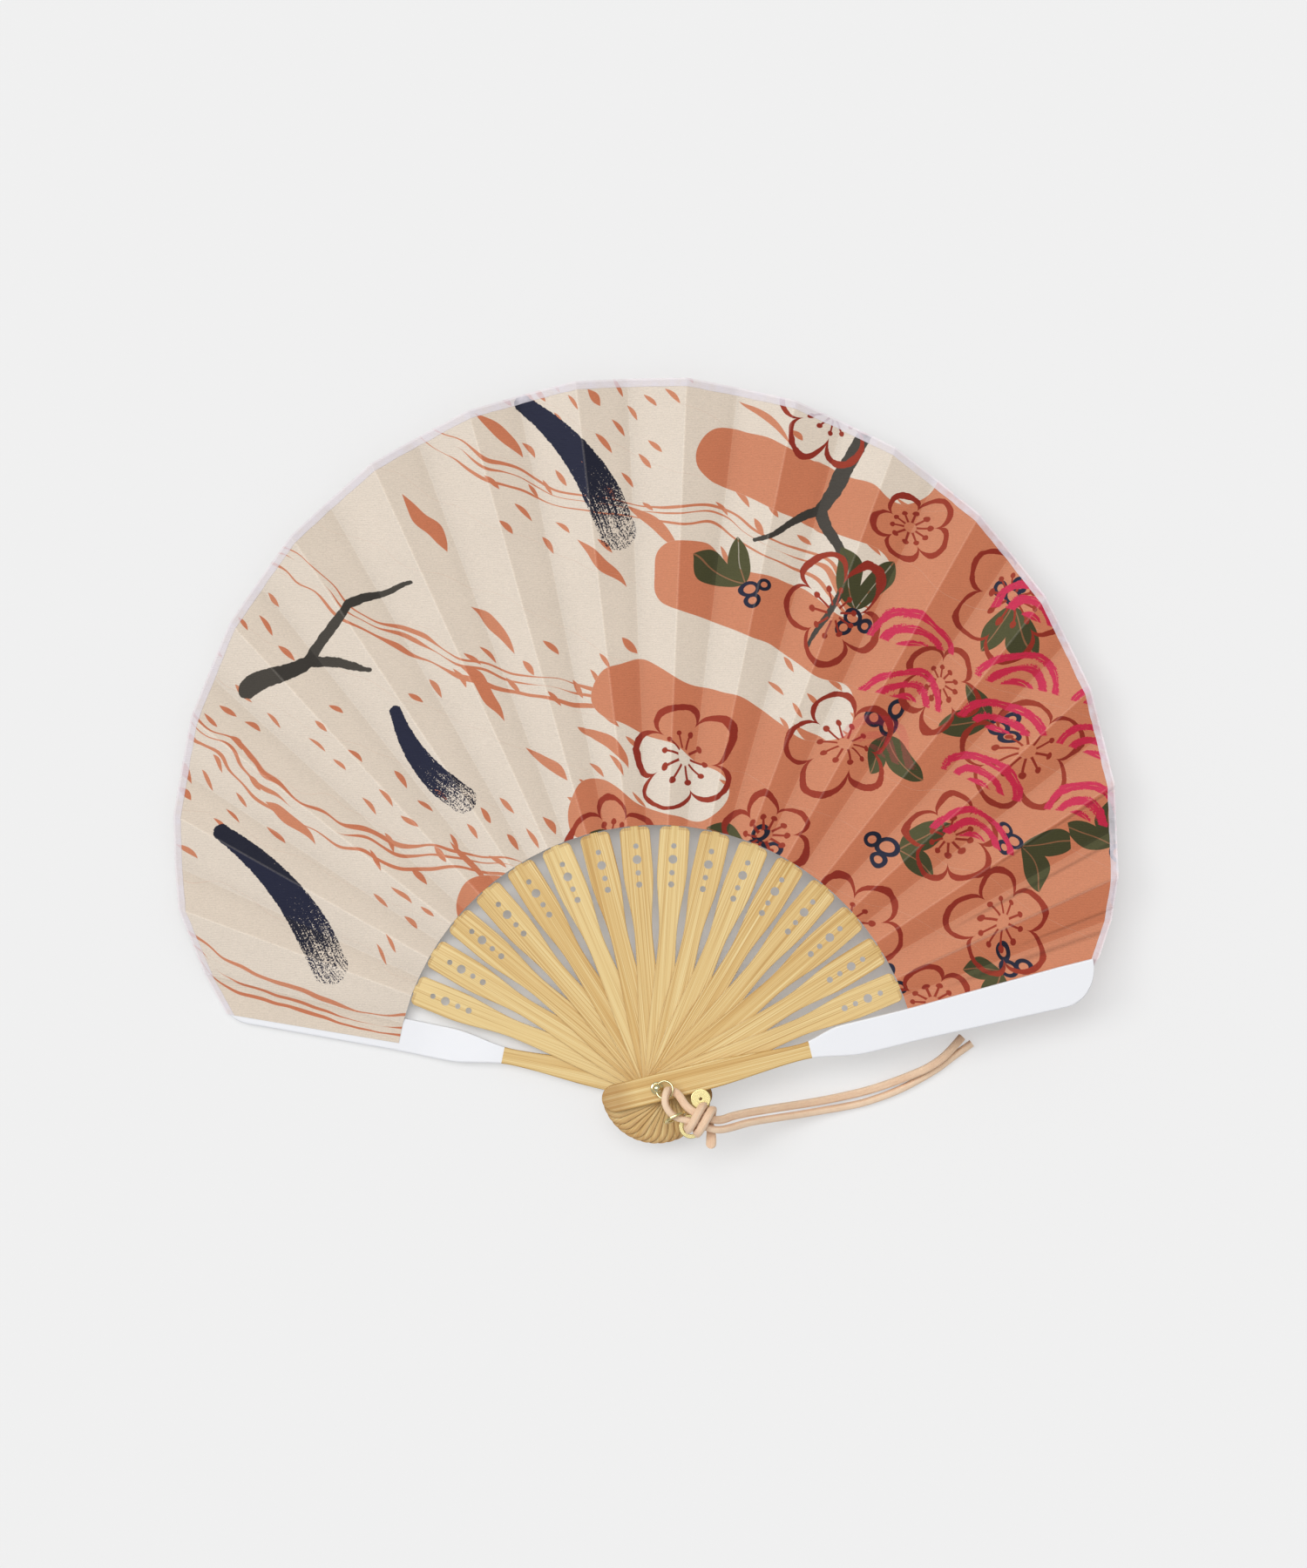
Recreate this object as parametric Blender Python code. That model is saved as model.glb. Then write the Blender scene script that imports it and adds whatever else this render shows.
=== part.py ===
"""Folding fan, lying open: a shell-shaped pleated leaf on sixteen bamboo ribs between two guards.

The pin stands on the origin, +Z up. The rear guard and the pin's lower head lie on z = 0. Each rib sits one
layer higher than the last, so the whole stack turns about the pin and closes onto the rear guard.
Each rib carries the leaf facet above it. The facets in between fold, and slope the other way.
"""

import math

import bmesh
import bpy
from mathutils import Matrix, Vector

MM = 0.001

# Directions from the pin, in degrees counter-clockwise from +X
RIB_COUNT = 16
REAR_AZIMUTH = 168.5
FIRST_RIB_AZIMUTH = 158.0
RIB_STEP = 9.0
FACET_HALF_ANGLE = 2.25
GUARD_FOLD_ANGLE = 2.5
LEAF_LAP_ANGLE = 1.95

# The stack of ribs along the pin
RIB_THICKNESS = 0.35 * MM
RIB_CLEARANCE = 0.25 * MM
PIN_RADIUS = 1.1 * MM
PIN_CLEARANCE = 0.25 * MM
BUTT_REACH = 16.8 * MM

# Ribs: a rounded butt, a slim neck, a paddle with a row of drilled holes, and a stick under the leaf
RIB_BUTT_HALF = 4.0 * MM
RIB_WAIST_HALF = 2.65 * MM
RIB_BLADE_HALF = 4.5 * MM
RIB_SHOULDER_RADIUS = 1.7 * MM
RIB_NECK_START = 12.0 * MM
RIB_WAIST_AT = 45.5 * MM
RIB_BLADE_AT = 66.0 * MM
RIB_BLADE_END = 77.9 * MM
RIB_TWIST_START = 70.0 * MM
RIB_HOLES = ((60.7 * MM, 1.8 * MM), (64.2 * MM, 1.6 * MM), (68.2 * MM, 2.6 * MM), (72.2 * MM, 1.6 * MM))
STICK_THICKNESS = 0.2 * MM
STICK_HALF = 1.25 * MM
STICK_TIP_HALF = 0.9 * MM
STICK_SHORT_OF_RIM = 5.0 * MM

# Leaf: its inner edge is round the pin, its outer edge is an arc about a point of its own
LEAF_THICKNESS = 0.12 * MM
LEAF_GAP = 0.1 * MM
LEAF_TILT = 12.0
LEAF_INNER_RADIUS = 78.3 * MM
FOLD_CLEARANCE = 0.3 * MM
RIM_CENTRE = Vector((-3.6 * MM, 71.0 * MM))
RIM_RADIUS = 141.2 * MM
REAR_TRIM = 7.8 * MM
REAR_TRIM_SPAN = 12.0
FRONT_TRIM = 7.0 * MM
FRONT_TRIM_SPAN = 7.0
FACET_ROWS = 4

# Guards: the same piece twice, one turned over; thick and flat along the leaf, thinner and bowed in at the pin
GUARD_LENGTH = 135.0 * MM
GUARD_THICKNESS = 2.6 * MM
GUARD_BUTT_THICKNESS = 1.8 * MM
GUARD_BOW = 1.4 * MM
GUARD_BOW_START = 46.0 * MM
GUARD_BOW_END = 74.0 * MM
GUARD_BUTT_HALF = 4.2 * MM
GUARD_NECK_START = 14.0 * MM
GUARD_WAIST_AT = 44.5 * MM
GUARD_WAIST_HALF = 2.45 * MM
GUARD_BLADE_AT = 63.5 * MM
GUARD_BLADE_HALF = 5.0 * MM
GUARD_FLARE_AT = 80.0 * MM
GUARD_TIP_HALF = 6.1 * MM
GUARD_TIP_CURVE = 11.0 * MM
GUARD_CHAMFER = 0.5 * MM

# Pin: a flat lower head, and on top a flange under a ball with an eye across it
HEAD_RADIUS = 3.0 * MM
HEAD_CLEARANCE = 0.3 * MM
HEAD_BEVEL = 0.6 * MM
FLANGE_RADIUS = 1.9 * MM
FLANGE_THICKNESS = 0.4 * MM
BALL_RADIUS = 1.4 * MM
BALL_RISE = 1.15 * MM
EYE_RADIUS = 0.7 * MM

# Split ring through the eye
RING_RADIUS = 2.6 * MM
RING_WIRE_RADIUS = 0.3 * MM
RING_SETBACK = 0.2 * MM
RING_AZIMUTH = -10.0
RING_TILT = 19.0

# Leather lace: two strands from the ring, tied by a short lace wound twice round both
LACE_DIAMETER = 2.4 * MM
KNOT_CENTRE = Vector((12.7 * MM, -9.1 * MM, 21.2 * MM))
KNOT_AZIMUTH = -22.3
KNOT_TURN_HALF_WIDTH = 4.2 * MM
KNOT_TURN_HALF_HEIGHT = 3.0 * MM
KNOT_TURN_PITCH = 3.0 * MM
KNOT_START_ANGLE = -90.0
KNOT_MIDDLE_ANGLE = 285.0
KNOT_END_ANGLE = 600.0
KNOT_STEPS_PER_TURN = 16

# The lace's routes, in millimetres: the loop starts in the knot, goes through the ring and back, and on to one
# end; the upper strand starts where the loop did; the knot's tail comes in from its tip
LOOP_ROUTE = (
    (13.0, -7.75, 21.35), (11.4, -7.1, 21.35), (9.9, -6.2, 21.1), (8.5, -4.9, 20.2), (7.5, -3.5, 19.2),
    (6.7, -2.3, 18.3), (5.9, -1.45, 17.65), (5.0, -0.95, 17.35), (4.1, -0.75, 17.5), (3.4, -0.65, 18.05),
    (3.05, -0.75, 18.85), (2.85, -1.1, 19.65), (2.6, -1.8, 20.4), (2.4, -2.9, 20.95), (2.4, -4.2, 21.25),
    (3.0, -5.8, 21.3), (4.2, -7.4, 21.3), (6.1, -8.6, 21.3), (8.6, -9.25, 21.35), (11.0, -10.0, 21.2),
    (14.0, -11.15, 21.1), (16.3, -11.95, 20.8), (18.7, -12.2, 19.9), (21.8, -11.7, 18.0), (28.0, -10.2, 13.9),
    (36.1, -9.1, 8.8), (43.0, -8.2, 5.2), (49.4, -7.2, 2.9), (56.0, -6.1, 1.6), (62.7, -4.6, 1.3),
    (72.5, -1.0, 1.3), (82.6, 4.5, 1.3), (88.6, 8.9, 1.3), (94.2, 12.9, 1.3),
)
UPPER_ROUTE = (
    (13.45, -7.95, 21.35), (15.1, -8.55, 21.3), (17.1, -9.2, 20.85), (19.4, -9.2, 19.4), (22.4, -8.3, 17.3),
    (26.3, -7.5, 14.7), (31.0, -6.8, 11.9), (36.1, -6.1, 8.9), (43.0, -5.2, 5.2), (49.4, -4.2, 2.9),
    (56.0, -2.9, 1.7), (62.7, -1.3, 1.4), (69.5, 0.9, 2.2), (75.9, 3.4, 3.4), (80.6, 5.5, 3.95),
    (84.8, 8.2, 4.0), (88.0, 11.2, 3.6), (91.2, 14.8, 2.6),
)
KNOT_TAIL_ROUTE = ((16.0, -17.9, 18.1), (16.1, -15.9, 18.0), (16.1, -13.9, 18.0), (15.95, -11.9, 18.1))

# Charms on the lace: two flat rings, one round a strand and one under the knot, and a thin disc
CHARM_RING_RADIUS = 3.6 * MM
CHARM_RING_BORE = 2.3 * MM
CHARM_RING_THICKNESS = 0.7 * MM
CHARM_EDGE = 0.15 * MM
STANDING_RING_CENTRE = Vector((5.4 * MM, -8.6 * MM, 21.2 * MM))
STANDING_RING_AZIMUTH = -63.4
STANDING_RING_LEAN = 12.0
LYING_RING_CENTRE = Vector((10.1 * MM, -11.4 * MM, 16.35 * MM))
DISC_CENTRE = Vector((13.0 * MM, -3.2 * MM, 17.0 * MM))
DISC_RADIUS = 3.0 * MM
DISC_BORE = 0.4 * MM
DISC_THICKNESS = 0.6 * MM

# Levels and directions that follow from the sizes above
LAYER = RIB_THICKNESS + RIB_CLEARANCE
REAR_INNER_Z = GUARD_THICKNESS + GUARD_BOW
FRONT_INNER_Z = REAR_INNER_Z + RIB_COUNT * LAYER + RIB_CLEARANCE
FRONT_TOP_Z = FRONT_INNER_Z + GUARD_BUTT_THICKNESS
BALL_Z = FRONT_TOP_Z + HEAD_CLEARANCE + FLANGE_THICKNESS + BALL_RISE
FRONT_AZIMUTH = FIRST_RIB_AZIMUTH - RIB_COUNT * RIB_STEP
LEAF_LIFT = STICK_THICKNESS / 2 + LEAF_GAP + LEAF_THICKNESS / 2
LEAF_SLOPE = math.tan(math.radians(LEAF_TILT))
REAR_LEAF_Z = GUARD_THICKNESS + LEAF_GAP + LEAF_THICKNESS / 2
FRONT_LEAF_Z = FRONT_INNER_Z + GUARD_BOW - LEAF_GAP - LEAF_THICKNESS / 2


def rib_azimuth(number):
    return FIRST_RIB_AZIMUTH - (number - 1) * RIB_STEP


def rib_level(number):
    """Height of the middle of a rib's thickness."""
    return REAR_INNER_Z + number * LAYER - RIB_THICKNESS / 2


def rim_radius(azimuth):
    """Distance from the pin to the leaf's outer edge; the leaf is cut back towards both guards."""
    direction = Vector((math.cos(math.radians(azimuth)), math.sin(math.radians(azimuth))))
    along = RIM_CENTRE.dot(direction)
    radius = along + math.sqrt(along**2 - RIM_CENTRE.length_squared + RIM_RADIUS**2)
    past_rear = azimuth - (REAR_AZIMUTH + LEAF_LAP_ANGLE - REAR_TRIM_SPAN)
    past_front = FRONT_AZIMUTH - LEAF_LAP_ANGLE + FRONT_TRIM_SPAN - azimuth
    radius -= REAR_TRIM * max(0.0, past_rear / REAR_TRIM_SPAN)
    radius -= FRONT_TRIM * max(0.0, past_front / FRONT_TRIM_SPAN)
    return radius


def ramp(value, start, end):
    """0 before start, 1 after end, and a smooth rise in between."""
    share = min(1.0, max(0.0, (value - start) / (end - start)))
    return share * share * (3 - 2 * share)


def steps(start, end, count):
    return [start + (end - start) * i / count for i in range(count + 1)]


def material(name, colour, roughness, metallic=0.0):
    made = bpy.data.materials.new(name)
    made.use_nodes = True
    shader = made.node_tree.nodes["Principled BSDF"]
    shader.inputs["Base Color"].default_value = (*colour, 1.0)
    shader.inputs["Roughness"].default_value = roughness
    shader.inputs["Metallic"].default_value = metallic
    return made


def add_object(name, data, look, parent=None, matrix=None):
    piece = bpy.data.objects.new(name, data)
    bpy.context.scene.collection.objects.link(piece)
    if look and not data.materials:
        data.materials.append(look)
    if parent:
        piece.parent = parent
    if matrix:
        piece.matrix_world = matrix
    return piece


def finish_mesh(bm, name, smooth=False):
    bmesh.ops.recalc_face_normals(bm, faces=bm.faces)
    mesh = bpy.data.meshes.new(name)
    bm.to_mesh(mesh)
    bm.free()
    if smooth:
        mesh.shade_smooth()
        mesh.set_sharp_from_angle(angle=math.radians(35))
    return mesh


def turned(azimuth, height=0.0):
    """A frame at the pin: X points outwards along the azimuth."""
    return Matrix.Translation((0, 0, height)) @ Matrix.Rotation(math.radians(azimuth), 4, "Z")


def spun(name, profile, count, closed=False):
    """A profile of (radius, height) points turned about Z; a closed one makes a ring."""
    bm = bmesh.new()
    verts = [bm.verts.new((radius, 0, height)) for radius, height in profile]
    pairs = list(zip(verts, verts[1:]))
    if closed:
        pairs.append((verts[-1], verts[0]))
    edges = [bm.edges.new(pair) for pair in pairs]
    bmesh.ops.spin(
        bm, geom=verts + edges, cent=(0, 0, 0), axis=(0, 0, 1), angle=math.tau, steps=count, use_merge=True
    )
    bmesh.ops.remove_doubles(bm, verts=bm.verts, dist=1e-6)
    return finish_mesh(bm, name, smooth=True)


def circle(centre, radius, count):
    return [
        (centre + radius * math.cos(math.tau * i / count), radius * math.sin(math.tau * i / count))
        for i in range(count)
    ]


def rib_half_width(u):
    neck = RIB_BUTT_HALF + (RIB_WAIST_HALF - RIB_BUTT_HALF) * ramp(u, RIB_NECK_START, RIB_WAIST_AT)
    return neck + (RIB_BLADE_HALF - RIB_WAIST_HALF) * ramp(u, RIB_WAIST_AT, RIB_BLADE_AT)


def rib_side():
    """One side of a rib's handle, from the butt's end to the foot of the stick."""
    butt_centre = RIB_BUTT_HALF - BUTT_REACH
    side = []
    for angle in steps(180, 90, 6):
        turn = math.radians(angle)
        side.append((butt_centre + RIB_BUTT_HALF * math.cos(turn), RIB_BUTT_HALF * math.sin(turn)))
    for u in steps(RIB_NECK_START, RIB_WAIST_AT, 5) + steps(RIB_WAIST_AT, RIB_BLADE_AT, 6)[1:]:
        side.append((u, rib_half_width(u)))
    corner = RIB_BLADE_END - RIB_SHOULDER_RADIUS
    for angle in steps(90, 0, 4):
        turn = math.radians(angle)
        side.append((
            corner + RIB_SHOULDER_RADIUS * math.sin(math.pi / 2 - turn),
            RIB_BLADE_HALF - RIB_SHOULDER_RADIUS * (1 - math.sin(turn)),
        ))
    side.append((RIB_BLADE_END, STICK_HALF))
    return side


def rib_mesh(name, stick_end):
    """A flat rib with its holes; towards the leaf it thins and twists to the facet's slope."""
    bm = bmesh.new()
    left = rib_side()
    right = [(u, -v) for u, v in reversed(left[1:])]
    loops = [left + right, circle(0, PIN_RADIUS + PIN_CLEARANCE, 14)]
    loops += [circle(at, diameter / 2, 10) for at, diameter in RIB_HOLES]
    edges = []
    outline = []
    for loop in loops:
        verts = [bm.verts.new((u, v, 0)) for u, v in loop]
        outline = outline or verts
        edges += [bm.edges.new(pair) for pair in zip(verts, verts[1:] + verts[:1])]
    bmesh.ops.triangle_fill(bm, edges=edges, use_beauty=True)
    foot_left, foot_right = outline[len(left) - 1], outline[len(left)]
    tip = [(stick_end - STICK_TIP_HALF, STICK_TIP_HALF), (stick_end, 0), (stick_end - STICK_TIP_HALF, -STICK_TIP_HALF)]
    bm.faces.new([foot_left, foot_right] + [bm.verts.new((u, v, 0)) for u, v in reversed(tip)])
    bmesh.ops.recalc_face_normals(bm, faces=bm.faces)
    lower = bmesh.ops.extrude_face_region(bm, geom=bm.faces[:])["geom"]
    lower = {item for item in lower if isinstance(item, bmesh.types.BMVert)}
    for vert in bm.verts:
        toward_leaf = ramp(vert.co.x, RIB_TWIST_START, RIB_BLADE_END)
        thickness = RIB_THICKNESS + (STICK_THICKNESS - RIB_THICKNESS) * toward_leaf
        off_axis = min(STICK_HALF, max(-STICK_HALF, vert.co.y))
        side = -0.5 if vert in lower else 0.5
        vert.co.z = side * thickness + off_axis * LEAF_SLOPE * toward_leaf
    return finish_mesh(bm, name)


def sheet_mesh(name, rows):
    """A thin sheet of rows of points, from the leaf's inner edge outwards; each row has the same count."""
    bm = bmesh.new()
    half = Vector((0, 0, LEAF_THICKNESS / 2))
    upper = [[bm.verts.new(point + half) for point in row] for row in rows]
    under = [[bm.verts.new(point - half) for point in row] for row in rows]
    last_row = len(rows) - 1
    last_column = len(rows[0]) - 1
    for side in (upper, under):
        for i in range(last_row):
            for j in range(last_column):
                bm.faces.new((side[i][j], side[i][j + 1], side[i + 1][j + 1]))
                bm.faces.new((side[i][j], side[i + 1][j + 1], side[i + 1][j]))
    border = [(0, j) for j in range(last_column)]
    border += [(i, last_column) for i in range(last_row)]
    border += [(last_row, j) for j in range(last_column, 0, -1)]
    border += [(i, 0) for i in range(last_row, 0, -1)]
    for (i, j), (k, m) in zip(border, border[1:] + border[:1]):
        bm.faces.new((upper[i][j], upper[k][m], under[k][m], under[i][j]))
    return finish_mesh(bm, name)


def fold_line(azimuth, base, slope, frame_azimuth, inset=0.0, count=FACET_ROWS):
    """Points along a fold, outwards, in a frame at the pin; inset moves them sideways, towards +azimuth."""
    outer = rim_radius(azimuth)
    turn = math.radians(azimuth - frame_azimuth)
    along = Vector((math.cos(turn), math.sin(turn), 0))
    sideways = Vector((-math.sin(turn), math.cos(turn), 0)) * inset
    return [along * r + sideways + Vector((0, 0, base + slope * r)) for r in steps(LEAF_INNER_RADIUS, outer, count)]


FOLD_SLOPE = LEAF_SLOPE * math.sin(math.radians(FACET_HALF_ANGLE))


def ridge(number, frame_azimuth, base, inset, count=FACET_ROWS):
    """The fold line on a rib's rear side, which stands high."""
    return fold_line(rib_azimuth(number) + FACET_HALF_ANGLE, base, FOLD_SLOPE, frame_azimuth, inset, count)


def furrow(number, frame_azimuth, base, inset, count=FACET_ROWS):
    """The fold line on a rib's front side, which lies low."""
    return fold_line(rib_azimuth(number) - FACET_HALF_ANGLE, base, -FOLD_SLOPE, frame_azimuth, inset, count)


def add_ribs(bamboo):
    ribs = []
    for number in range(1, RIB_COUNT + 1):
        azimuth = rib_azimuth(number)
        mesh = rib_mesh(f"rib_{number:02d}", rim_radius(azimuth) - STICK_SHORT_OF_RIM)
        ribs.append(add_object(mesh.name, mesh, bamboo, matrix=turned(azimuth, rib_level(number))))
    return ribs


def add_leaf(ribs, guards, cloth):
    """A glued facet over each rib, a folding facet after each rib but the last, and an end piece at each guard."""
    inset = FOLD_CLEARANCE / 2
    for number, rib in enumerate(ribs, 1):
        azimuth = rib_azimuth(number)
        rows = list(zip(ridge(number, azimuth, LEAF_LIFT, -inset, 1), furrow(number, azimuth, LEAF_LIFT, inset, 1)))
        mesh = sheet_mesh(f"leaf_glued_{number:02d}", rows)
        add_object(mesh.name, mesh, cloth, rib, turned(azimuth, rib_level(number)))
        if number < RIB_COUNT:
            falling = furrow(number, azimuth, LEAF_LIFT, -inset)
            rising = ridge(number + 1, azimuth, LEAF_LIFT + LAYER, inset)
            mesh = sheet_mesh(f"leaf_fold_{number:02d}", list(zip(falling, rising)))
            add_object(mesh.name, mesh, cloth, rib, turned(azimuth, rib_level(number)))
    rear_columns = (
        fold_line(REAR_AZIMUTH + LEAF_LAP_ANGLE, REAR_LEAF_Z, 0, REAR_AZIMUTH),
        fold_line(REAR_AZIMUTH - GUARD_FOLD_ANGLE, REAR_LEAF_Z, 0, REAR_AZIMUTH),
        ridge(1, REAR_AZIMUTH, rib_level(1) + LEAF_LIFT, inset),
    )
    front_columns = (
        furrow(RIB_COUNT, FRONT_AZIMUTH, rib_level(RIB_COUNT) + LEAF_LIFT, -inset),
        fold_line(FRONT_AZIMUTH + GUARD_FOLD_ANGLE, FRONT_LEAF_Z, 0, FRONT_AZIMUTH),
        fold_line(FRONT_AZIMUTH - LEAF_LAP_ANGLE, FRONT_LEAF_Z, 0, FRONT_AZIMUTH),
    )
    ends = (("leaf_end_rear", rear_columns, REAR_AZIMUTH), ("leaf_end_front", front_columns, FRONT_AZIMUTH))
    for (name, columns, azimuth), guard in zip(ends, guards):
        add_object(name, sheet_mesh(name, list(zip(*columns))), cloth, guard, turned(azimuth))


def guard_half_width(u):
    half = GUARD_BUTT_HALF + (GUARD_WAIST_HALF - GUARD_BUTT_HALF) * ramp(u, GUARD_NECK_START, GUARD_WAIST_AT)
    half += (GUARD_BLADE_HALF - GUARD_WAIST_HALF) * ramp(u, GUARD_WAIST_AT, GUARD_BLADE_AT)
    flare_end = GUARD_LENGTH - GUARD_TIP_CURVE
    share = min(1.0, max(0.0, (u - GUARD_FLARE_AT) / (flare_end - GUARD_FLARE_AT)))
    return half + (GUARD_TIP_HALF - GUARD_BLADE_HALF) * share


def guard_stations():
    """(distance from the pin, leaf side, outer side) along a guard, from the butt to the tip."""
    butt_centre = GUARD_BUTT_HALF - BUTT_REACH
    stations = []
    for angle in steps(174, 90, 7):
        turn = math.radians(angle)
        half = GUARD_BUTT_HALF * math.sin(turn)
        stations.append((butt_centre + GUARD_BUTT_HALF * math.cos(turn), half, half))
    flare_end = GUARD_LENGTH - GUARD_TIP_CURVE
    distances = steps(GUARD_NECK_START, GUARD_WAIST_AT, 6) + steps(GUARD_WAIST_AT, GUARD_BLADE_AT, 7)[1:]
    distances += [GUARD_BOW_END, GUARD_FLARE_AT, flare_end]
    for u in distances:
        stations.append((u, guard_half_width(u), guard_half_width(u)))
    for angle in steps(80, 8, 7):
        turn = math.radians(angle)
        width = 2 * GUARD_TIP_HALF * math.sin(turn)
        stations.append((flare_end + GUARD_TIP_CURVE * math.cos(turn), GUARD_TIP_HALF, width - GUARD_TIP_HALF))
    return stations


def guard_mesh():
    """Sections lofted along the guard: a flat inner face, and an outer face with chamfered edges."""
    bm = bmesh.new()
    rings = []
    for u, leaf_side, outer_side in guard_stations():
        bowed = ramp(u, GUARD_BOW_START, GUARD_BOW_END)
        inner = -GUARD_BOW * bowed
        thickness = GUARD_BUTT_THICKNESS + (GUARD_THICKNESS - GUARD_BUTT_THICKNESS) * bowed
        outer = inner - thickness
        chamfer = min(GUARD_CHAMFER, 0.3 * (leaf_side + outer_side))
        section = (
            (-leaf_side, inner), (-leaf_side, outer + chamfer), (-leaf_side + chamfer, outer),
            (outer_side - chamfer, outer), (outer_side, outer + chamfer), (outer_side, inner),
        )
        rings.append([bm.verts.new((u, v, w)) for v, w in section])
    for first, second in zip(rings, rings[1:]):
        for i in range(len(first)):
            j = (i + 1) % len(first)
            bm.faces.new((first[i], first[j], second[j], second[i]))
    bm.faces.new(rings[0])
    bm.faces.new(rings[-1])
    bmesh.ops.triangulate(bm, faces=bm.faces)
    return finish_mesh(bm, "guard")


def cutter(name, radius, length, matrix):
    """A cylinder that a Boolean takes away."""
    bm = bmesh.new()
    bmesh.ops.create_cone(bm, cap_ends=True, segments=16, radius1=radius, radius2=radius, depth=length)
    piece = add_object(name, finish_mesh(bm, name), None, matrix=matrix)
    piece.display_type = "WIRE"
    piece.hide_render = True
    return piece


def cut(piece, tool):
    modifier = piece.modifiers.new(tool.name, "BOOLEAN")
    modifier.operation = "DIFFERENCE"
    modifier.solver = "EXACT"
    modifier.object = tool


def add_guards(lacquer):
    mesh = guard_mesh()
    bore = cutter("pin_bore", PIN_RADIUS + PIN_CLEARANCE, 2 * FRONT_TOP_Z, Matrix())
    turned_over = Matrix.Rotation(math.pi, 4, "X")
    rear = add_object("guard_rear", mesh, lacquer, matrix=turned(REAR_AZIMUTH, REAR_INNER_Z))
    front = add_object("guard_front", mesh, lacquer, matrix=turned(FRONT_AZIMUTH, FRONT_INNER_Z) @ turned_over)
    for guard in (rear, front):
        cut(guard, bore)
    return rear, front


def add_pin(brass):
    """One turned piece: lower head, shank, flange and ball, with the eye drilled across the ball."""
    head_top = REAR_INNER_Z - GUARD_BUTT_THICKNESS - HEAD_CLEARANCE
    flange = FRONT_TOP_Z + HEAD_CLEARANCE
    flange_top = flange + FLANGE_THICKNESS
    profile = [(0, 0), (HEAD_RADIUS - HEAD_BEVEL, 0), (HEAD_RADIUS, HEAD_BEVEL), (HEAD_RADIUS, head_top - HEAD_BEVEL)]
    profile += [(HEAD_RADIUS - HEAD_BEVEL, head_top), (PIN_RADIUS, head_top), (PIN_RADIUS, flange)]
    profile += [(FLANGE_RADIUS, flange), (FLANGE_RADIUS, flange_top)]
    foot_angle = -math.degrees(math.asin(BALL_RISE / BALL_RADIUS))
    for angle in steps(foot_angle, 90, 8):
        turn = math.radians(angle)
        profile.append((BALL_RADIUS * math.cos(turn) if angle < 90 else 0, BALL_Z + BALL_RADIUS * math.sin(turn)))
    pin = add_object("pivot_pin", spun("pivot_pin", profile, 20), brass)
    across = Matrix.Translation((0, 0, BALL_Z)) @ Matrix.Rotation(math.radians(RING_AZIMUTH), 4, "Z")
    across = across @ Matrix.Rotation(math.pi / 2, 4, "X")
    cut(pin, cutter("eye_bore", EYE_RADIUS, 4 * BALL_RADIUS, across))


def add_ring(brass):
    """The ring hangs in the eye and leans up over the first guard, towards the lace."""
    wire = [
        (RING_RADIUS + RING_WIRE_RADIUS * math.cos(turn), RING_WIRE_RADIUS * math.sin(turn))
        for turn in steps(0, math.tau, 8)[:-1]
    ]
    place = turned(RING_AZIMUTH, BALL_Z) @ Matrix.Rotation(-math.radians(RING_TILT), 4, "Y")
    place = place @ Matrix.Translation((RING_RADIUS - RING_SETBACK, 0, 0))
    add_object("jump_ring", spun("jump_ring", wire, 28, closed=True), brass, matrix=place)


def smooth_line(points, count):
    """A smooth curve through the points, with count steps between neighbours."""
    padded = [points[0] * 2 - points[1]] + list(points) + [points[-1] * 2 - points[-2]]
    line = []
    for a, b, c, d in zip(padded, padded[1:], padded[2:], padded[3:]):
        for i in range(count):
            t = i / count
            line.append(
                (b * 2 + (c - a) * t + (a * 2 - b * 5 + c * 4 - d) * t**2 + (b * 3 - a - c * 3 + d) * t**3) / 2
            )
    return line + [points[-1]]


def add_lace(name, line, leather):
    """A round lace along a line of points, with flat cut ends."""
    curve = bpy.data.curves.new(name, "CURVE")
    curve.dimensions = "3D"
    curve.bevel_depth = LACE_DIAMETER / 2
    curve.bevel_resolution = 2
    curve.use_fill_caps = True
    spline = curve.splines.new("POLY")
    spline.points.add(len(line) - 1)
    for point, place in zip(spline.points, line):
        point.co = (*place, 1)
    spline.use_smooth = True
    add_object(name, curve, leather)


def knot_line():
    """A short tail from under both strands, then two turns of lace round them, back towards the pin."""
    axis = Vector((math.cos(math.radians(KNOT_AZIMUTH)), math.sin(math.radians(KNOT_AZIMUTH)), 0))
    across = Vector((-axis.y, axis.x, 0))
    up = Vector((0, 0, 1))
    count = round((KNOT_END_ANGLE - KNOT_START_ANGLE) / 360 * KNOT_STEPS_PER_TURN)
    turns = []
    for angle in steps(KNOT_START_ANGLE, KNOT_END_ANGLE, count):
        turn = math.radians(angle)
        turns.append(
            KNOT_CENTRE
            - axis * KNOT_TURN_PITCH * (angle - KNOT_MIDDLE_ANGLE) / 360
            + across * KNOT_TURN_HALF_WIDTH * math.cos(turn)
            + up * KNOT_TURN_HALF_HEIGHT * math.sin(turn)
        )
    tail = [Vector(point) * MM for point in KNOT_TAIL_ROUTE]
    return smooth_line(tail + turns[:1], 3)[:-1] + turns


def least_gap(line, diameter):
    """The least clear distance between stretches of a tube that are not neighbours along it."""
    apart = math.pi * diameter / 2
    travelled = [0.0]
    for a, b in zip(line, line[1:]):
        travelled.append(travelled[-1] + (b - a).length)
    gaps = [
        (line[i] - line[j]).length - diameter
        for i in range(len(line))
        for j in range(i)
        if travelled[i] - travelled[j] > apart
    ]
    return min(gaps)


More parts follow.
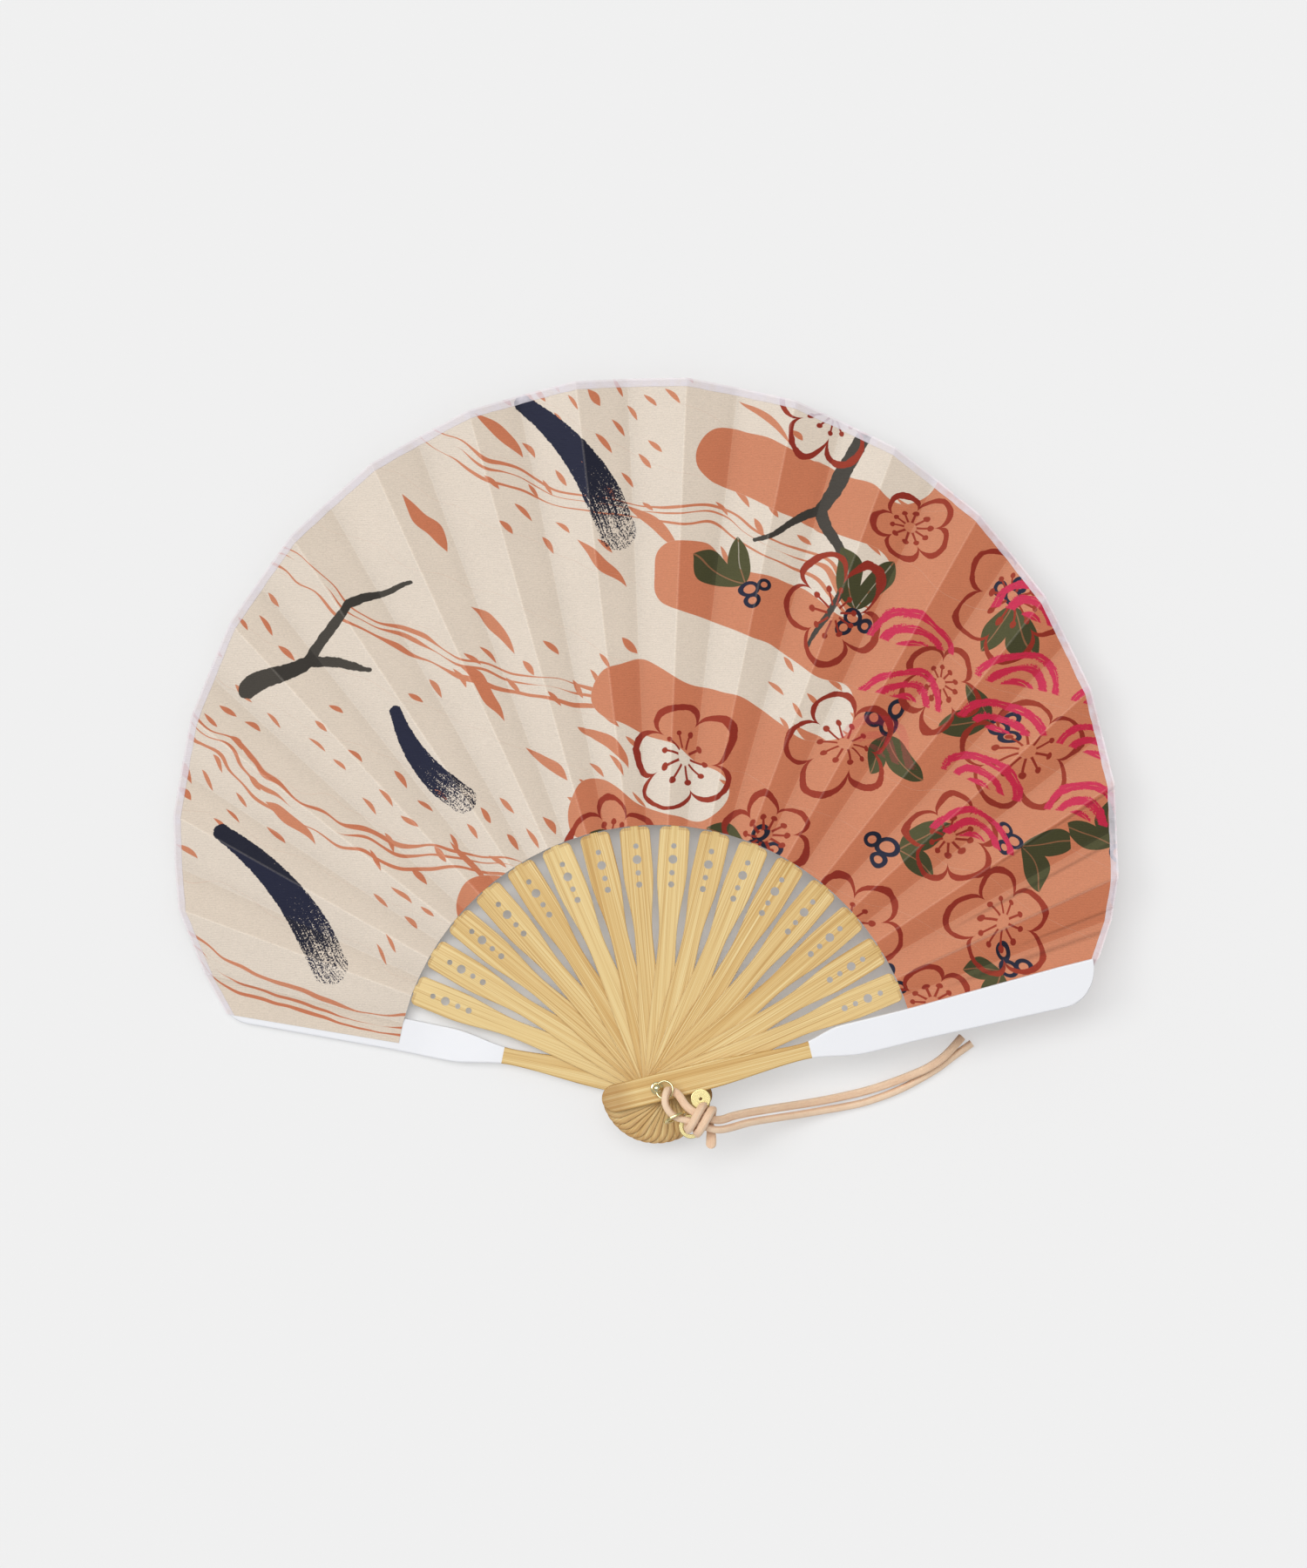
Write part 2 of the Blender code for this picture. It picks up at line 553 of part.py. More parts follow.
def add_laces(leather):
    lines = {
        "lace_loop": smooth_line([Vector(point) * MM for point in LOOP_ROUTE], 2),
        "lace_upper": smooth_line([Vector(point) * MM for point in UPPER_ROUTE], 2),
        "lace_knot": knot_line(),
    }
    for name, line in lines.items():
        add_lace(name, line, leather)
        length = sum((b - a).length for a, b in zip(line, line[1:]))
        print(f"{name}: {length / MM:.2f} mm long, least gap to itself {least_gap(line, LACE_DIAMETER) / MM:.2f} mm")


def charm_profile(bore, radius, thickness):
    """A flat washer's section with broken edges."""
    half = thickness / 2
    edge = CHARM_EDGE
    return (
        (bore, -half + edge), (bore + edge, -half), (radius - edge, -half), (radius, -half + edge),
        (radius, half - edge), (radius - edge, half), (bore + edge, half), (bore, half - edge),
    )


def add_charms(gold):
    flat_ring = spun("charm_ring", charm_profile(CHARM_RING_BORE, CHARM_RING_RADIUS, CHARM_RING_THICKNESS), 24, True)
    disc = spun("charm_disc", charm_profile(DISC_BORE, DISC_RADIUS, DISC_THICKNESS), 20, True)
    upright = Matrix.Rotation(math.radians(STANDING_RING_AZIMUTH), 4, "Z")
    upright = upright @ Matrix.Rotation(math.radians(90 - STANDING_RING_LEAN), 4, "Y")
    add_object("charm_ring_standing", flat_ring, gold, matrix=Matrix.Translation(STANDING_RING_CENTRE) @ upright)
    add_object("charm_ring_lying", flat_ring, gold, matrix=Matrix.Translation(LYING_RING_CENTRE))
    add_object("charm_disc", disc, gold, matrix=Matrix.Translation(DISC_CENTRE))


def main():
    for old in list(bpy.data.objects):
        bpy.data.objects.remove(old, do_unlink=True)
    bamboo = material("bamboo", (0.73, 0.51, 0.21), 0.5)
    cloth = material("leaf_cloth", (0.75, 0.45, 0.3), 0.85)
    lacquer = material("guard_lacquer", (0.88, 0.88, 0.9), 0.3)
    brass = material("brass", (0.68, 0.58, 0.24), 0.25, 1.0)
    gold = material("gold_plate", (0.72, 0.6, 0.22), 0.22, 1.0)
    leather = material("leather", (0.72, 0.46, 0.3), 0.6)
    guards = add_guards(lacquer)
    ribs = add_ribs(bamboo)
    add_leaf(ribs, guards, cloth)
    add_pin(brass)
    add_ring(brass)
    add_laces(leather)
    add_charms(gold)


main()
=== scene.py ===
"""Folding fan, lying open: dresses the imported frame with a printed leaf, bamboo ribs, lacquered guards and a lace."""

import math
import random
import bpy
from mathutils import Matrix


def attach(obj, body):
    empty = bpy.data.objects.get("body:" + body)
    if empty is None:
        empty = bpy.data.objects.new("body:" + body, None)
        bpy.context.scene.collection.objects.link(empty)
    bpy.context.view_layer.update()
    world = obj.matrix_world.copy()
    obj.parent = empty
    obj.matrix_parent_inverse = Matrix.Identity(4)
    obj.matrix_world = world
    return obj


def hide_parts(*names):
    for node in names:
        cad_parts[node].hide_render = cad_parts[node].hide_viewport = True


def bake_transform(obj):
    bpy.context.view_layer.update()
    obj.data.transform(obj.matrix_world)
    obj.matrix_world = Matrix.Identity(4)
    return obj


bl_info = {
    "name": "Folding fan",
    "version": (1, 0, 0),
    "blender": (4, 5, 0),
    "location": "3D View > Sidebar > Fan",
    "description": "Makes a folding fan's leaf, ribs, guards, pin, charms and lace over its packed frame",
    "category": "Object",
}

from functools import partialmethod, reduce
from typing import NamedTuple

import bmesh
import bpy
from bpy.props import FloatProperty, FloatVectorProperty, PointerProperty
from mathutils import Matrix, Vector

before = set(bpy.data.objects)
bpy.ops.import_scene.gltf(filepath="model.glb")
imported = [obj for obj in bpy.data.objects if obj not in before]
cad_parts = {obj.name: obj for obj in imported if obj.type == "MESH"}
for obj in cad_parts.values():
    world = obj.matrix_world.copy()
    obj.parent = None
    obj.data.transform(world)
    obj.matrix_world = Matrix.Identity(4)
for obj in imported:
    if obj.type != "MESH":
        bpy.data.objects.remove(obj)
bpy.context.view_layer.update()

MM = 0.001

# Directions from the pin, in degrees counter-clockwise from +X, and the bodies at the two ends
RIB_COUNT = 16
REAR_AZIMUTH = 168.5
FIRST_RIB_AZIMUTH = 158.0
RIB_STEP = 9.0
RIDGE_ANGLE = 1.6
FURROW_ANGLE = 2.6
GUARD_FOLD_ANGLE = 2.5
LEAF_LAP_ANGLE = 1.95
REAR_BODY = "rear_guard"
FRONT_BODY = "front_guard"
FRONT_AZIMUTH = FIRST_RIB_AZIMUTH - RIB_COUNT * RIB_STEP
CLOSING_ANGLE = REAR_AZIMUTH - FRONT_AZIMUTH

# Levels along the pin
RIB_THICKNESS = 0.35 * MM
RIB_LAYER = 0.6 * MM
BOW = 1.4 * MM
GUARD_THICKNESS = 2.6 * MM
GUARD_BUTT_THICKNESS = 1.8 * MM
REAR_INNER_Z = GUARD_THICKNESS + BOW
FRONT_INNER_Z = 13.85 * MM
FRONT_TOP_Z = FRONT_INNER_Z + GUARD_BUTT_THICKNESS
LEAF_LIFT = 0.26 * MM
REAR_LEAF_Z = 2.76 * MM
FRONT_LEAF_Z = 15.09 * MM

# Ribs
BUTT_REACH = 16.8 * MM
BUTT_TURNS = (174.0, 90.0)
BUTT_STEPS = 12
RIB_BUTT_HALF = 4.0 * MM
RIB_START = -6.0 * MM
RIB_WAIST_HALF = 2.65 * MM
RIB_BLADE_HALF = 4.5 * MM
RIB_SHOULDER_RADIUS = 1.7 * MM
SHOULDER_TURNS = (80.0, 10.0)
SHOULDER_STEPS = 7
NECK_STEPS = 36
BLADE_STEPS = 8
RIB_NECK_START = 12.0 * MM
RIB_WAIST_AT = 45.5 * MM
RIB_BLADE_AT = 66.0 * MM
RIB_BLADE_END = 77.9 * MM
RIB_TWIST_START = 70.0 * MM
RIB_HOLES = ((60.7 * MM, 1.8 * MM), (64.2 * MM, 1.6 * MM), (68.2 * MM, 2.6 * MM), (72.2 * MM, 1.6 * MM))
PIN_HOLE_RADIUS = 1.35 * MM
DRILLED = ((0.0, 2 * PIN_HOLE_RADIUS), *RIB_HOLES)
HOLE_LABELS = [(f"Hole {number} place", f"Hole {number} radius") for number in range(1, len(DRILLED) + 1)]
RIB_COLUMNS = (-0.8, -0.6, -0.3, 0.0, 0.3, 0.6, 0.8)
STICK_THICKNESS = 0.2 * MM
STICK_HALF = 1.25 * MM
STICK_SHORT_OF_RIM = 5.0 * MM
STICK_STEPS = 9
DRILL_SIDES = 28
DRILL_DEPTH = 4.0 * MM
GRAIN_SEED = 7
GRAIN_SPREAD = 40.0
GRAIN_LEAN = 0.7
GUARD_GRAIN = (0.21, 11.21)

# Meshes: sharp edges and rounded sections, whose rounding takes up at most these shares of half their width and
# of half their height
SHARP_ANGLE = 40.0
TOLERANCE = 1e-6
CORNER_STEPS = 4
SMALL_CORNER_STEPS = 3
FLAT_MARGIN = 0.06 * MM
FULLEST_ROUNDING = (0.9, 0.98)

# Leaf
LEAF_TILT = 12.0
LEAF_INNER_RADIUS = 78.3 * MM
RIM_CENTRE = Vector((-3.6 * MM, 71.0 * MM))
RIM_RADIUS = 141.2 * MM
REAR_TRIM = 7.8 * MM
REAR_TRIM_SPAN = 12.0
FRONT_TRIM = 7.0 * MM
FRONT_TRIM_SPAN = 7.0
RIM_NOTCH = 0.6 * MM
FACET_ROWS = 40
FACET_COLUMNS = 6
FACET_CORNERS = ("First inner", "First outer", "Second inner", "Second outer")
LEAF_SLOPE = math.tan(math.radians(LEAF_TILT))
RIDGE_SLOPE = LEAF_SLOPE * math.sin(math.radians(RIDGE_ANGLE))
FURROW_SLOPE = -LEAF_SLOPE * math.sin(math.radians(FURROW_ANGLE))

# Guards
GUARD_LENGTH = 135.0 * MM
GUARD_BOW_START = 46.0 * MM
GUARD_BOW_END = 74.0 * MM
GUARD_BUTT_HALF = 4.2 * MM
GUARD_NECK_START = 14.0 * MM
GUARD_WAIST_AT = 44.5 * MM
GUARD_WAIST_HALF = 2.45 * MM
GUARD_BLADE_AT = 63.5 * MM
FRONT_BLADE_AT = 57.5 * MM
GUARD_BLADE_HALF = 5.0 * MM
GUARD_FLARE_AT = 80.0 * MM
GUARD_TIP_HALF = 6.1 * MM
GUARD_TIP_CURVE = 11.0 * MM
GUARD_FLARE_END = GUARD_LENGTH - GUARD_TIP_CURVE
TIP_TURNS = (84.0, 6.0)
TIP_STEPS = 13
GUARD_EDGE_RADIUS = 0.45 * MM
BARE_START = -8.0 * MM
BARE_STEPS = 22
COATED_STEPS = 40
LACQUER_START = 47.0 * MM
LACQUER_STEP = 0.05 * MM

# Pin, ring and charms
HEAD_RADIUS = 3.0 * MM
HEAD_TOP = 1.9 * MM
HEAD_BEVEL = 0.6 * MM
HEAD_FIRST_TURN = -75.0
HEAD_STEPS = 5
PIN_RADIUS = 1.1 * MM
FLANGE_Z = FRONT_TOP_Z + 0.3 * MM
FLANGE_RADIUS = 1.9 * MM
FLANGE_THICKNESS = 0.4 * MM
FLANGE_EDGE = 0.25 * MM
FLANGE_EDGE_TURNS = (-60.0, 62.0)
FLANGE_EDGE_STEPS = 7
FLANGE_STEP = 0.1 * MM
FLANGE_MEETS_BALL = -42.0
BALL_RADIUS = 1.4 * MM
BALL_STEPS = 20
BALL_Z = FLANGE_Z + FLANGE_THICKNESS + 1.15 * MM
RING_RADIUS = 2.6 * MM
RING_WIRE_RADIUS = 0.3 * MM
RING_SETBACK = 0.2 * MM
RING_AZIMUTH = -10.0
RING_TILT = 19.0
PIN_SIDES = 48
RING_SIDES = 72
WIRE_SIDES = 14
CHARM_RING_RADIUS = 3.6 * MM
CHARM_RING_BORE = 2.3 * MM
CHARM_RING_THICKNESS = 0.7 * MM
STANDING_RING_CENTRE = Vector((5.4 * MM, -8.6 * MM, 21.2 * MM))
STANDING_RING_AZIMUTH = -63.4
STANDING_RING_LEAN = 12.0
LYING_RING_CENTRE = Vector((10.1 * MM, -11.4 * MM, 16.35 * MM))
DISC_CENTRE = Vector((13.0 * MM, -3.2 * MM, 17.0 * MM))
DISC_RADIUS = 3.0 * MM
DISC_BORE = 0.4 * MM
DISC_THICKNESS = 0.6 * MM
CHARM_EDGE_RADIUS = 0.16 * MM
CHARM_SIDES = 64

# Lace
LACE_WIDTH = 2.4 * MM
LACE_ROUNDING = 0.38
LACE_STEPS = 6
KNOT_CENTRE = Vector((12.7 * MM, -9.1 * MM, 21.2 * MM))
KNOT_AZIMUTH = -22.3
KNOT_TURN_HALF_WIDTH = 4.2 * MM
KNOT_TURN_HALF_HEIGHT = 3.0 * MM
KNOT_TURN_PITCH = 3.0 * MM
KNOT_START_ANGLE = -90.0
KNOT_MIDDLE_ANGLE = 285.0
KNOT_END_ANGLE = 600.0
KNOT_STEPS_PER_TURN = 16
LOOP_ROUTE = (
    (13.0, -7.75, 21.35), (11.4, -7.1, 21.35), (9.9, -6.2, 21.1), (8.5, -4.9, 20.2), (7.5, -3.5, 19.2),
    (6.7, -2.3, 18.3), (5.9, -1.45, 17.65), (5.0, -0.95, 17.35), (4.1, -0.75, 17.5), (3.4, -0.65, 18.05),
    (3.05, -0.75, 18.85), (2.85, -1.1, 19.65), (2.6, -1.8, 20.4), (2.4, -2.9, 20.95), (2.4, -4.2, 21.25),
    (3.0, -5.8, 21.3), (4.2, -7.4, 21.3), (6.1, -8.6, 21.3), (8.6, -9.25, 21.35), (11.0, -10.0, 21.2),
    (14.0, -11.15, 21.1), (16.3, -11.95, 20.8), (18.7, -12.2, 19.9), (21.8, -11.7, 18.0), (28.0, -10.2, 13.9),
    (36.1, -9.1, 8.8), (43.0, -8.2, 5.2), (49.4, -7.2, 2.9), (56.0, -6.1, 1.6), (62.7, -4.6, 1.3),
    (72.5, -1.0, 1.3), (82.6, 4.5, 1.3), (88.6, 8.9, 1.3), (94.2, 12.9, 1.3),
)
UPPER_ROUTE = (
    (13.45, -7.95, 21.35), (15.1, -8.55, 21.3), (17.1, -9.2, 20.85), (19.4, -9.2, 19.4), (22.4, -8.3, 17.3),
    (26.3, -7.5, 14.7), (31.0, -6.8, 11.9), (36.1, -6.1, 8.9), (43.0, -5.2, 5.2), (49.4, -4.2, 2.9),
    (56.0, -2.9, 1.7), (62.7, -1.3, 1.4), (69.5, 0.9, 2.2), (75.9, 3.4, 3.4), (80.6, 5.5, 3.95),
    (84.8, 8.2, 4.0), (88.0, 11.2, 3.6), (91.2, 14.8, 2.6),
)
KNOT_TAIL_ROUTE = ((16.0, -17.9, 18.1), (16.1, -15.9, 18.0), (16.1, -13.9, 18.0), (15.95, -11.9, 18.1))
TAIL_STEPS = 3
TAIL_TIP = 1.3 * MM
TAIL_TIP_SHARES = (0.0, 0.05, 0.14, 0.27, 0.45, 0.7)
TAIL_SWELL = 0.28
TAIL_SWELL_START = 2 * TAIL_TIP
TAIL_SWELL_END = 5 * TAIL_TIP
TAIL_NARROWEST = 0.25

# The cloth. A fold that a facet lacks is put this many widths away. The other sizes are in millimetres: how far a
# furrow's shade reaches, how far folds are rounded, and the creases beside the front guard as (azimuth in degrees,
# start, end, half width)
NO_FOLD = 4.0
DEPTH_AND_SHADE_NODE = "Depth over a rib"
VALLEY_REACH = 7.0
FURROW_ROUNDING = 1.5
RIDGE_ROUNDING = 0.6
GATHERS = (
    (19.3, 96.0, 190.0, 1.1), (21.4, 120.0, 172.0, 0.7), (24.6, 84.0, 150.0, 0.7), (28.3, 104.0, 186.0, 0.8),
    (33.2, 120.0, 176.0, 0.6),
)

# The print, in degrees and in millimetres from the pin: its mist bands, its twigs as joints of (x, y, half width),
# its brush marks as (start, end, half width, bend), thin ripples as (place, half width), waves, grass and blossoms,
# its leaves as (angle, length, half width, half a vein), berries as (x, y, radius), an inked edge's softness, and how
# far the drawing hand wavers
MIST_SLANT = -24.0
MIST_BAND = 19.0
GARDEN_START = -42.0
TWIGS = (
    ((-122.0, 118.0, 2.4), (-104.0, 129.0, 1.9), (-92.0, 146.0, 1.5), (-72.0, 152.0, 0.7)),
    ((-104.0, 129.0, 1.5), (-86.0, 124.0, 0.6)),
    ((64.0, 196.0, 2.2), (49.0, 172.0, 1.9), (56.0, 150.0, 1.3), (46.0, 132.0, 0.6)),
    ((49.0, 172.0, 1.6), (30.0, 164.0, 0.6)),
)
BRUSH_MARKS = (
    ((-130.0, 76.0), (-98.0, 36.0), 5.6, 4.0),
    ((-40.0, 204.0), (-12.0, 166.0), 5.8, 4.0),
    ((-78.0, 112.0), (-58.0, 86.0), 4.2, -3.0),
)
RIPPLES = ((24.0, 0.5), (27.4, 0.28), (29.6, 0.4))
RIPPLE_PITCH = 58.0
WAVES_AT = (108.0, 112.0)
WAVES_REACH = 41.0
WAVE_SLANT = -18.0
WAVE_PITCH = (31.0, 17.0)
WAVE_RADII = (12.0, 7.8, 3.7)
GRASS_SLANT = -50.0
BLADE_PITCH = (46.0, 17.0)
DASH_PITCH = (12.5, 6.5)
BLOSSOM_PITCH = (47.0, 47.0)
BLOSSOM_RADIUS = 17.0
SMALL_BLOSSOM_RADIUS = 13.5
LEAF_PAIR = ((27.0, 17.0, 4.1, 0.2), (-35.0, 13.5, 3.6, 0.18))
LEAF_PAIR_PITCH = (37.0, 37.0)
BERRIES = ((-2.4, 0.8, 2.3), (-5.9, 3.4, 1.9), (-5.0, -3.0, 1.7))
INK_EDGE = 0.14
HAND_WAVER = 9.0

# The photograph's frame: its size and the pin's place in pixels, and the size of one pixel
PHOTO_WIDTH = 1500
PHOTO_HEIGHT = 1800
PIN_PIXEL = (754, 1248)
PIXEL = 0.26 * MM
CAMERA_HEIGHT = 2.4
SENSOR_HEIGHT = 36.0
FOCUS_LEVEL = 8.0 * MM
FLOOR_SIZE = 4.0
GAP_REACH = 84.0 * MM
GAP_SOFTNESS = 6.0 * MM

# The soft lights as (name, azimuth, elevation, spread) in degrees
SUNS = (("key", 160.0, 52.0, 26.0), ("top", 110.0, 72.0, 34.0))

# Sockets of a mix node that its kind uses: both inputs and the output
MIX_SOCKETS = {"RGBA": (6, 7, 2), "VECTOR": (4, 5, 1)}


def srgb(red, green, blue):
    """A linear colour from sRGB values of 0 to 255."""
    channels = [value / 255 for value in (red, green, blue)]
    return tuple(c / 12.92 if c <= 0.04045 else ((c + 0.055) / 1.055) ** 2.4 for c in channels)


# Tones beside the main colours: a painted highlight on a ridge, cloth turned at the rim, leather's dark patches and cut
# sides
RIDGE_HIGHLIGHT = srgb(252, 241, 228)
TURNED_CLOTH = srgb(246, 241, 243)
DARK_LEATHER = srgb(206, 156, 122)
CUT_LEATHER = srgb(246, 222, 194)


def colour_property(name, description, *channels):
    return FloatVectorProperty(
        name=name, description=description, default=srgb(*channels), min=0.0, max=1.0, size=3, subtype="COLOR"
    )


def size_property(name, description, default, low, high):
    """A length, given in millimetres."""
    return FloatProperty(
        name=name, description=description, default=default * MM, min=low * MM, max=high * MM, subtype="DISTANCE",
        unit="LENGTH",
    )


def share_property(name, description, default):
    return FloatProperty(name=name, description=description, default=default, min=0.0, max=1.0, subtype="FACTOR")


def strength_property(name, description, default):
    return FloatProperty(name=name, description=description, default=default, min=0.0)


def compass(angle):
    """Cosine and sine of an angle in degrees."""
    turn = math.radians(angle)
    return math.cos(turn), math.sin(turn)


class LeafSettings(bpy.types.PropertyGroup):
    """The printed leaf."""

    cream: colour_property("Cream", "Ground of the print on the rear guard's side", 225, 212, 197)
    salmon: colour_property("Salmon", "Ground of the print on the front guard's side", 205, 132, 98)
    rust: colour_property("Rust", "Outlines of the blossoms", 152, 48, 24)
    olive: colour_property("Olive", "Leaves", 76, 75, 40)
    navy: colour_property("Navy", "Berries and brush marks", 22, 26, 52)
    charcoal: colour_property("Charcoal", "Broad brush marks", 66, 61, 54)
    magenta: colour_property("Magenta", "Wave arcs", 200, 38, 78)
    tape: colour_property("Rim tape", "Sheer tape that binds the outer edge", 224, 218, 226)
    # Also painted shade: it darkens the facets glued over the ribs.
    depth: FloatProperty(
        name="Depth over a rib", description="How much deeper the print looks where a rib is glued behind it",
        default=1.18, min=1.0, max=2.0,
    )
    tape_width: size_property("Tape width", "Width of the rim tape", 2.5, 1, 6)
    weave: size_property("Weave pitch", "Distance between the cloth's ribs", 0.42, 0.2, 2)


class RibSettings(bpy.types.PropertyGroup):
    """The bamboo ribs."""

    light: colour_property("Light bamboo", "Ground of the palest sticks", 229, 200, 138)
    dark: colour_property("Dark bamboo", "Ground of the darkest sticks", 208, 166, 96)
    pale: colour_property("Pale fibres", "Thin pale lines of the grain", 244, 226, 172)
    # Its colour also serves for the painted shade along the edges.
    fibre_and_edge_shade: colour_property("Brown fibres", "Thin dark lines of the grain", 160, 112, 58)
    grain: size_property("Grain width", "Width of one band of grain", 1.3, 0.1, 3)
    edge: size_property("Edge radius", "Rounding of a rib's edges", 0.1, 0.02, 0.17)


class GuardSettings(bpy.types.PropertyGroup):
    """The two guards."""

    lacquer: colour_property("Lacquer", "White gloss over the outer part", 234, 235, 239)
    gloss: share_property("Lacquer roughness", "Roughness of the lacquer", 0.3)


class MetalSettings(bpy.types.PropertyGroup):
    """The pin, the ring and the charms."""

    brass: colour_property("Brass", "Pin and ring", 220, 212, 168)
    gold: colour_property("Pale gold", "Charms", 216, 202, 146)


class LaceSettings(bpy.types.PropertyGroup):
    """The leather lace."""

    leather: colour_property("Leather", "The lace's grain side", 240, 208, 176)
    thickness: size_property("Lace thickness", "The flat lace's thinner side", 2.0, 0.5, 2.4)


class StageSettings(bpy.types.PropertyGroup):
    """The floor and the light."""

    floor: colour_property("Floor", "Plain pale floor", 240, 240, 240)
    shadow: share_property("Shadow lightening", "How far the floor's shadow is lightened", 0.55)
    gaps: share_property("Gap lightening", "The same for the floor seen between the ribs", 0.2)
    key: strength_property("Key light", "Strength of the soft light from the left", 0.85)
    top: strength_property("Top light", "Strength of the soft light from above", 1.0)
    zenith: strength_property("Zenith", "Strength of the sky straight above", 0.56)
    horizon: strength_property("Horizon", "Strength of the sky at the horizon", 0.34)


class Term:
    """A number in a node tree. Arithmetic on it adds math nodes."""

    def __init__(self, socket):
        self.socket = socket
        self.tree = socket.id_data

    def apply(self, operation, *others, clamp=False):
        node = self.tree.nodes.new("ShaderNodeMath")
        node.operation = operation
        node.use_clamp = clamp
        for slot, value in zip(node.inputs, (self, *others)):
            plug(slot, value)
        return Term(node.outputs[0])

    __add__ = partialmethod(apply, "ADD")
    __sub__ = partialmethod(apply, "SUBTRACT")
    __mul__ = partialmethod(apply, "MULTIPLY")
    __truediv__ = partialmethod(apply, "DIVIDE")
    __neg__ = partialmethod(apply, "MULTIPLY", -1.0)
    __abs__ = partialmethod(apply, "ABSOLUTE")
    root = partialmethod(apply, "SQRT")
    sine = partialmethod(apply, "SINE")
    cosine = partialmethod(apply, "COSINE")
    clamped = partialmethod(apply, "ADD", 0.0, clamp=True)
    least = partialmethod(apply, "MINIMUM")
    most = partialmethod(apply, "MAXIMUM")
    above = partialmethod(apply, "GREATER_THAN")

    def __rsub__(self, other):
        return -self + other

    def inside(self, soft):
        """1 where this distance is below 0, 0 above it, with an edge of the given softness."""
        return (-self / soft + 0.5).clamped()

    def inked(self):
        return self.inside(INK_EDGE)


def plug(slot, value):
    """Links a term or a socket to an input, or sets the input to a plain value."""
    if isinstance(value, Term):
        value = value.socket
    if isinstance(value, bpy.types.NodeSocket):
        slot.id_data.links.new(value, slot)
    elif slot.type == "RGBA" and len(value) == 3:
        slot.default_value = (*value, 1.0)
    else:
        slot.default_value = value


def add_node(tree, kind, inputs=None, **settings):
    node = tree.nodes.new(kind)
    for name, value in settings.items():
        setattr(node, name, value)
    for name, value in (inputs or {}).items():
        plug(node.inputs[name], value)
    return node


def mixed(factor, first, second, kind="RGBA"):
    """One colour or vector, or another where the factor is 1."""
    low, high, made = MIX_SOCKETS[kind]
    inputs = {"Factor": factor, low: first, high: second}
    return add_node(factor.tree, "ShaderNodeMix", inputs, data_type=kind).outputs[made]


def layered(ground, layers):
    """A ground colour with inks laid over it, each where its mask is 1."""
    for mask, ink in layers:
        ground = mixed(mask, ground, ink)
    return ground


def parts(place):
    """The three coordinates of a vector."""
    return [Term(output) for output in add_node(place.id_data, "ShaderNodeSeparateXYZ", {0: place}).outputs]


def uv_terms(tree, layer):
    """Both coordinates of a UV map, in millimetres."""
    x, y, _z = parts(add_node(tree, "ShaderNodeUVMap", uv_map=layer).outputs[0])
    return x * (1.0 / MM), y * (1.0 / MM)


def object_place(tree):
    return add_node(tree, "ShaderNodeTexCoord").outputs["Object"]


def camera_ray(tree):
    """1 where the camera itself looks, 0 for light that bounces."""
    return Term(add_node(tree, "ShaderNodeLightPath").outputs["Is Camera Ray"])


def vector(x, y=0.0, z=0.0):
    return add_node(x.tree, "ShaderNodeCombineXYZ", {0: x, 1: y, 2: z}).outputs[0]


def noise(place, scale, detail=2.0, roughness=0.5):
    """Noise about 0, from -0.5 to 0.5, at a vector or at two or three coordinates."""
    if isinstance(place, tuple):
        place = vector(*place)
    inputs = {"Vector": place, "Scale": scale, "Detail": detail, "Roughness": roughness}
    return Term(add_node(place.id_data, "ShaderNodeTexNoise", inputs).outputs[0]) - 0.5


def material(name, colour, **sockets):
    """A material with a Principled BSDF; returns it, its tree and its shader."""
    made = bpy.data.materials.new(name)
    made.use_nodes = True
    shader = made.node_tree.nodes["Principled BSDF"]
    for socket, value in {"Base_Color": colour, **sockets}.items():
        plug(shader.inputs[socket.replace("_", " ")], value)
    return made, made.node_tree, shader


def paint(shader, ground, *layers):
    plug(shader.inputs["Base Color"], layered(ground, layers))


def bumped(shader, height, distance, strength=1.0):
    inputs = {"Height": height, "Distance": distance, "Strength": strength}
    plug(shader.inputs["Normal"], add_node(shader.id_data, "ShaderNodeBump", inputs).outputs[0])


def cells(x, y, pitch, randomness):
    """The nearest of a scatter of points: the place about it, three random numbers, and where it is."""
    inputs = {"Vector": vector(x / pitch[0], y / pitch[1]), "Scale": 1.0, "Randomness": randomness}
    nearest = add_node(x.tree, "ShaderNodeTexVoronoi", inputs, voronoi_dimensions="2D")
    column, row, _z = parts(nearest.outputs["Position"])
    chances = add_node(x.tree, "ShaderNodeSeparateColor", {0: nearest.outputs["Color"]})
    middle = (column * pitch[0], row * pitch[1])
    return x - middle[0], y - middle[1], [Term(chance) for chance in chances.outputs], middle


def turned_place(x, y, angle):
    """The place turned back by an angle: a number in degrees, or a term in radians."""
    cosine, sine = (angle.cosine(), angle.sine()) if isinstance(angle, Term) else compass(angle)
    return x * cosine + y * sine, y * cosine - x * sine


def distance_out(x, y):
    """Distance of the place (x, y) from the origin."""
    return (x * x + y * y).root()


def past_ends(along, length):
    """How far a place lies past either end of a run that starts at 0."""
    return (along - length).most(-along).most(0.0)


def lens(x, y, length, half_width):
    """Distance outside a pointed leaf shape that runs from the origin along x."""
    share = x / length * 2 - 1
    return abs(y) - (share * share * -1 + 1) * half_width


def along_run(x, y, start, end):
    """The place along and across a straight run, and the run's length."""
    run = Vector(end) - Vector(start)
    along, across = turned_place(x - start[0], y - start[1], math.degrees(math.atan2(run.y, run.x)))
    return along, across, run.length


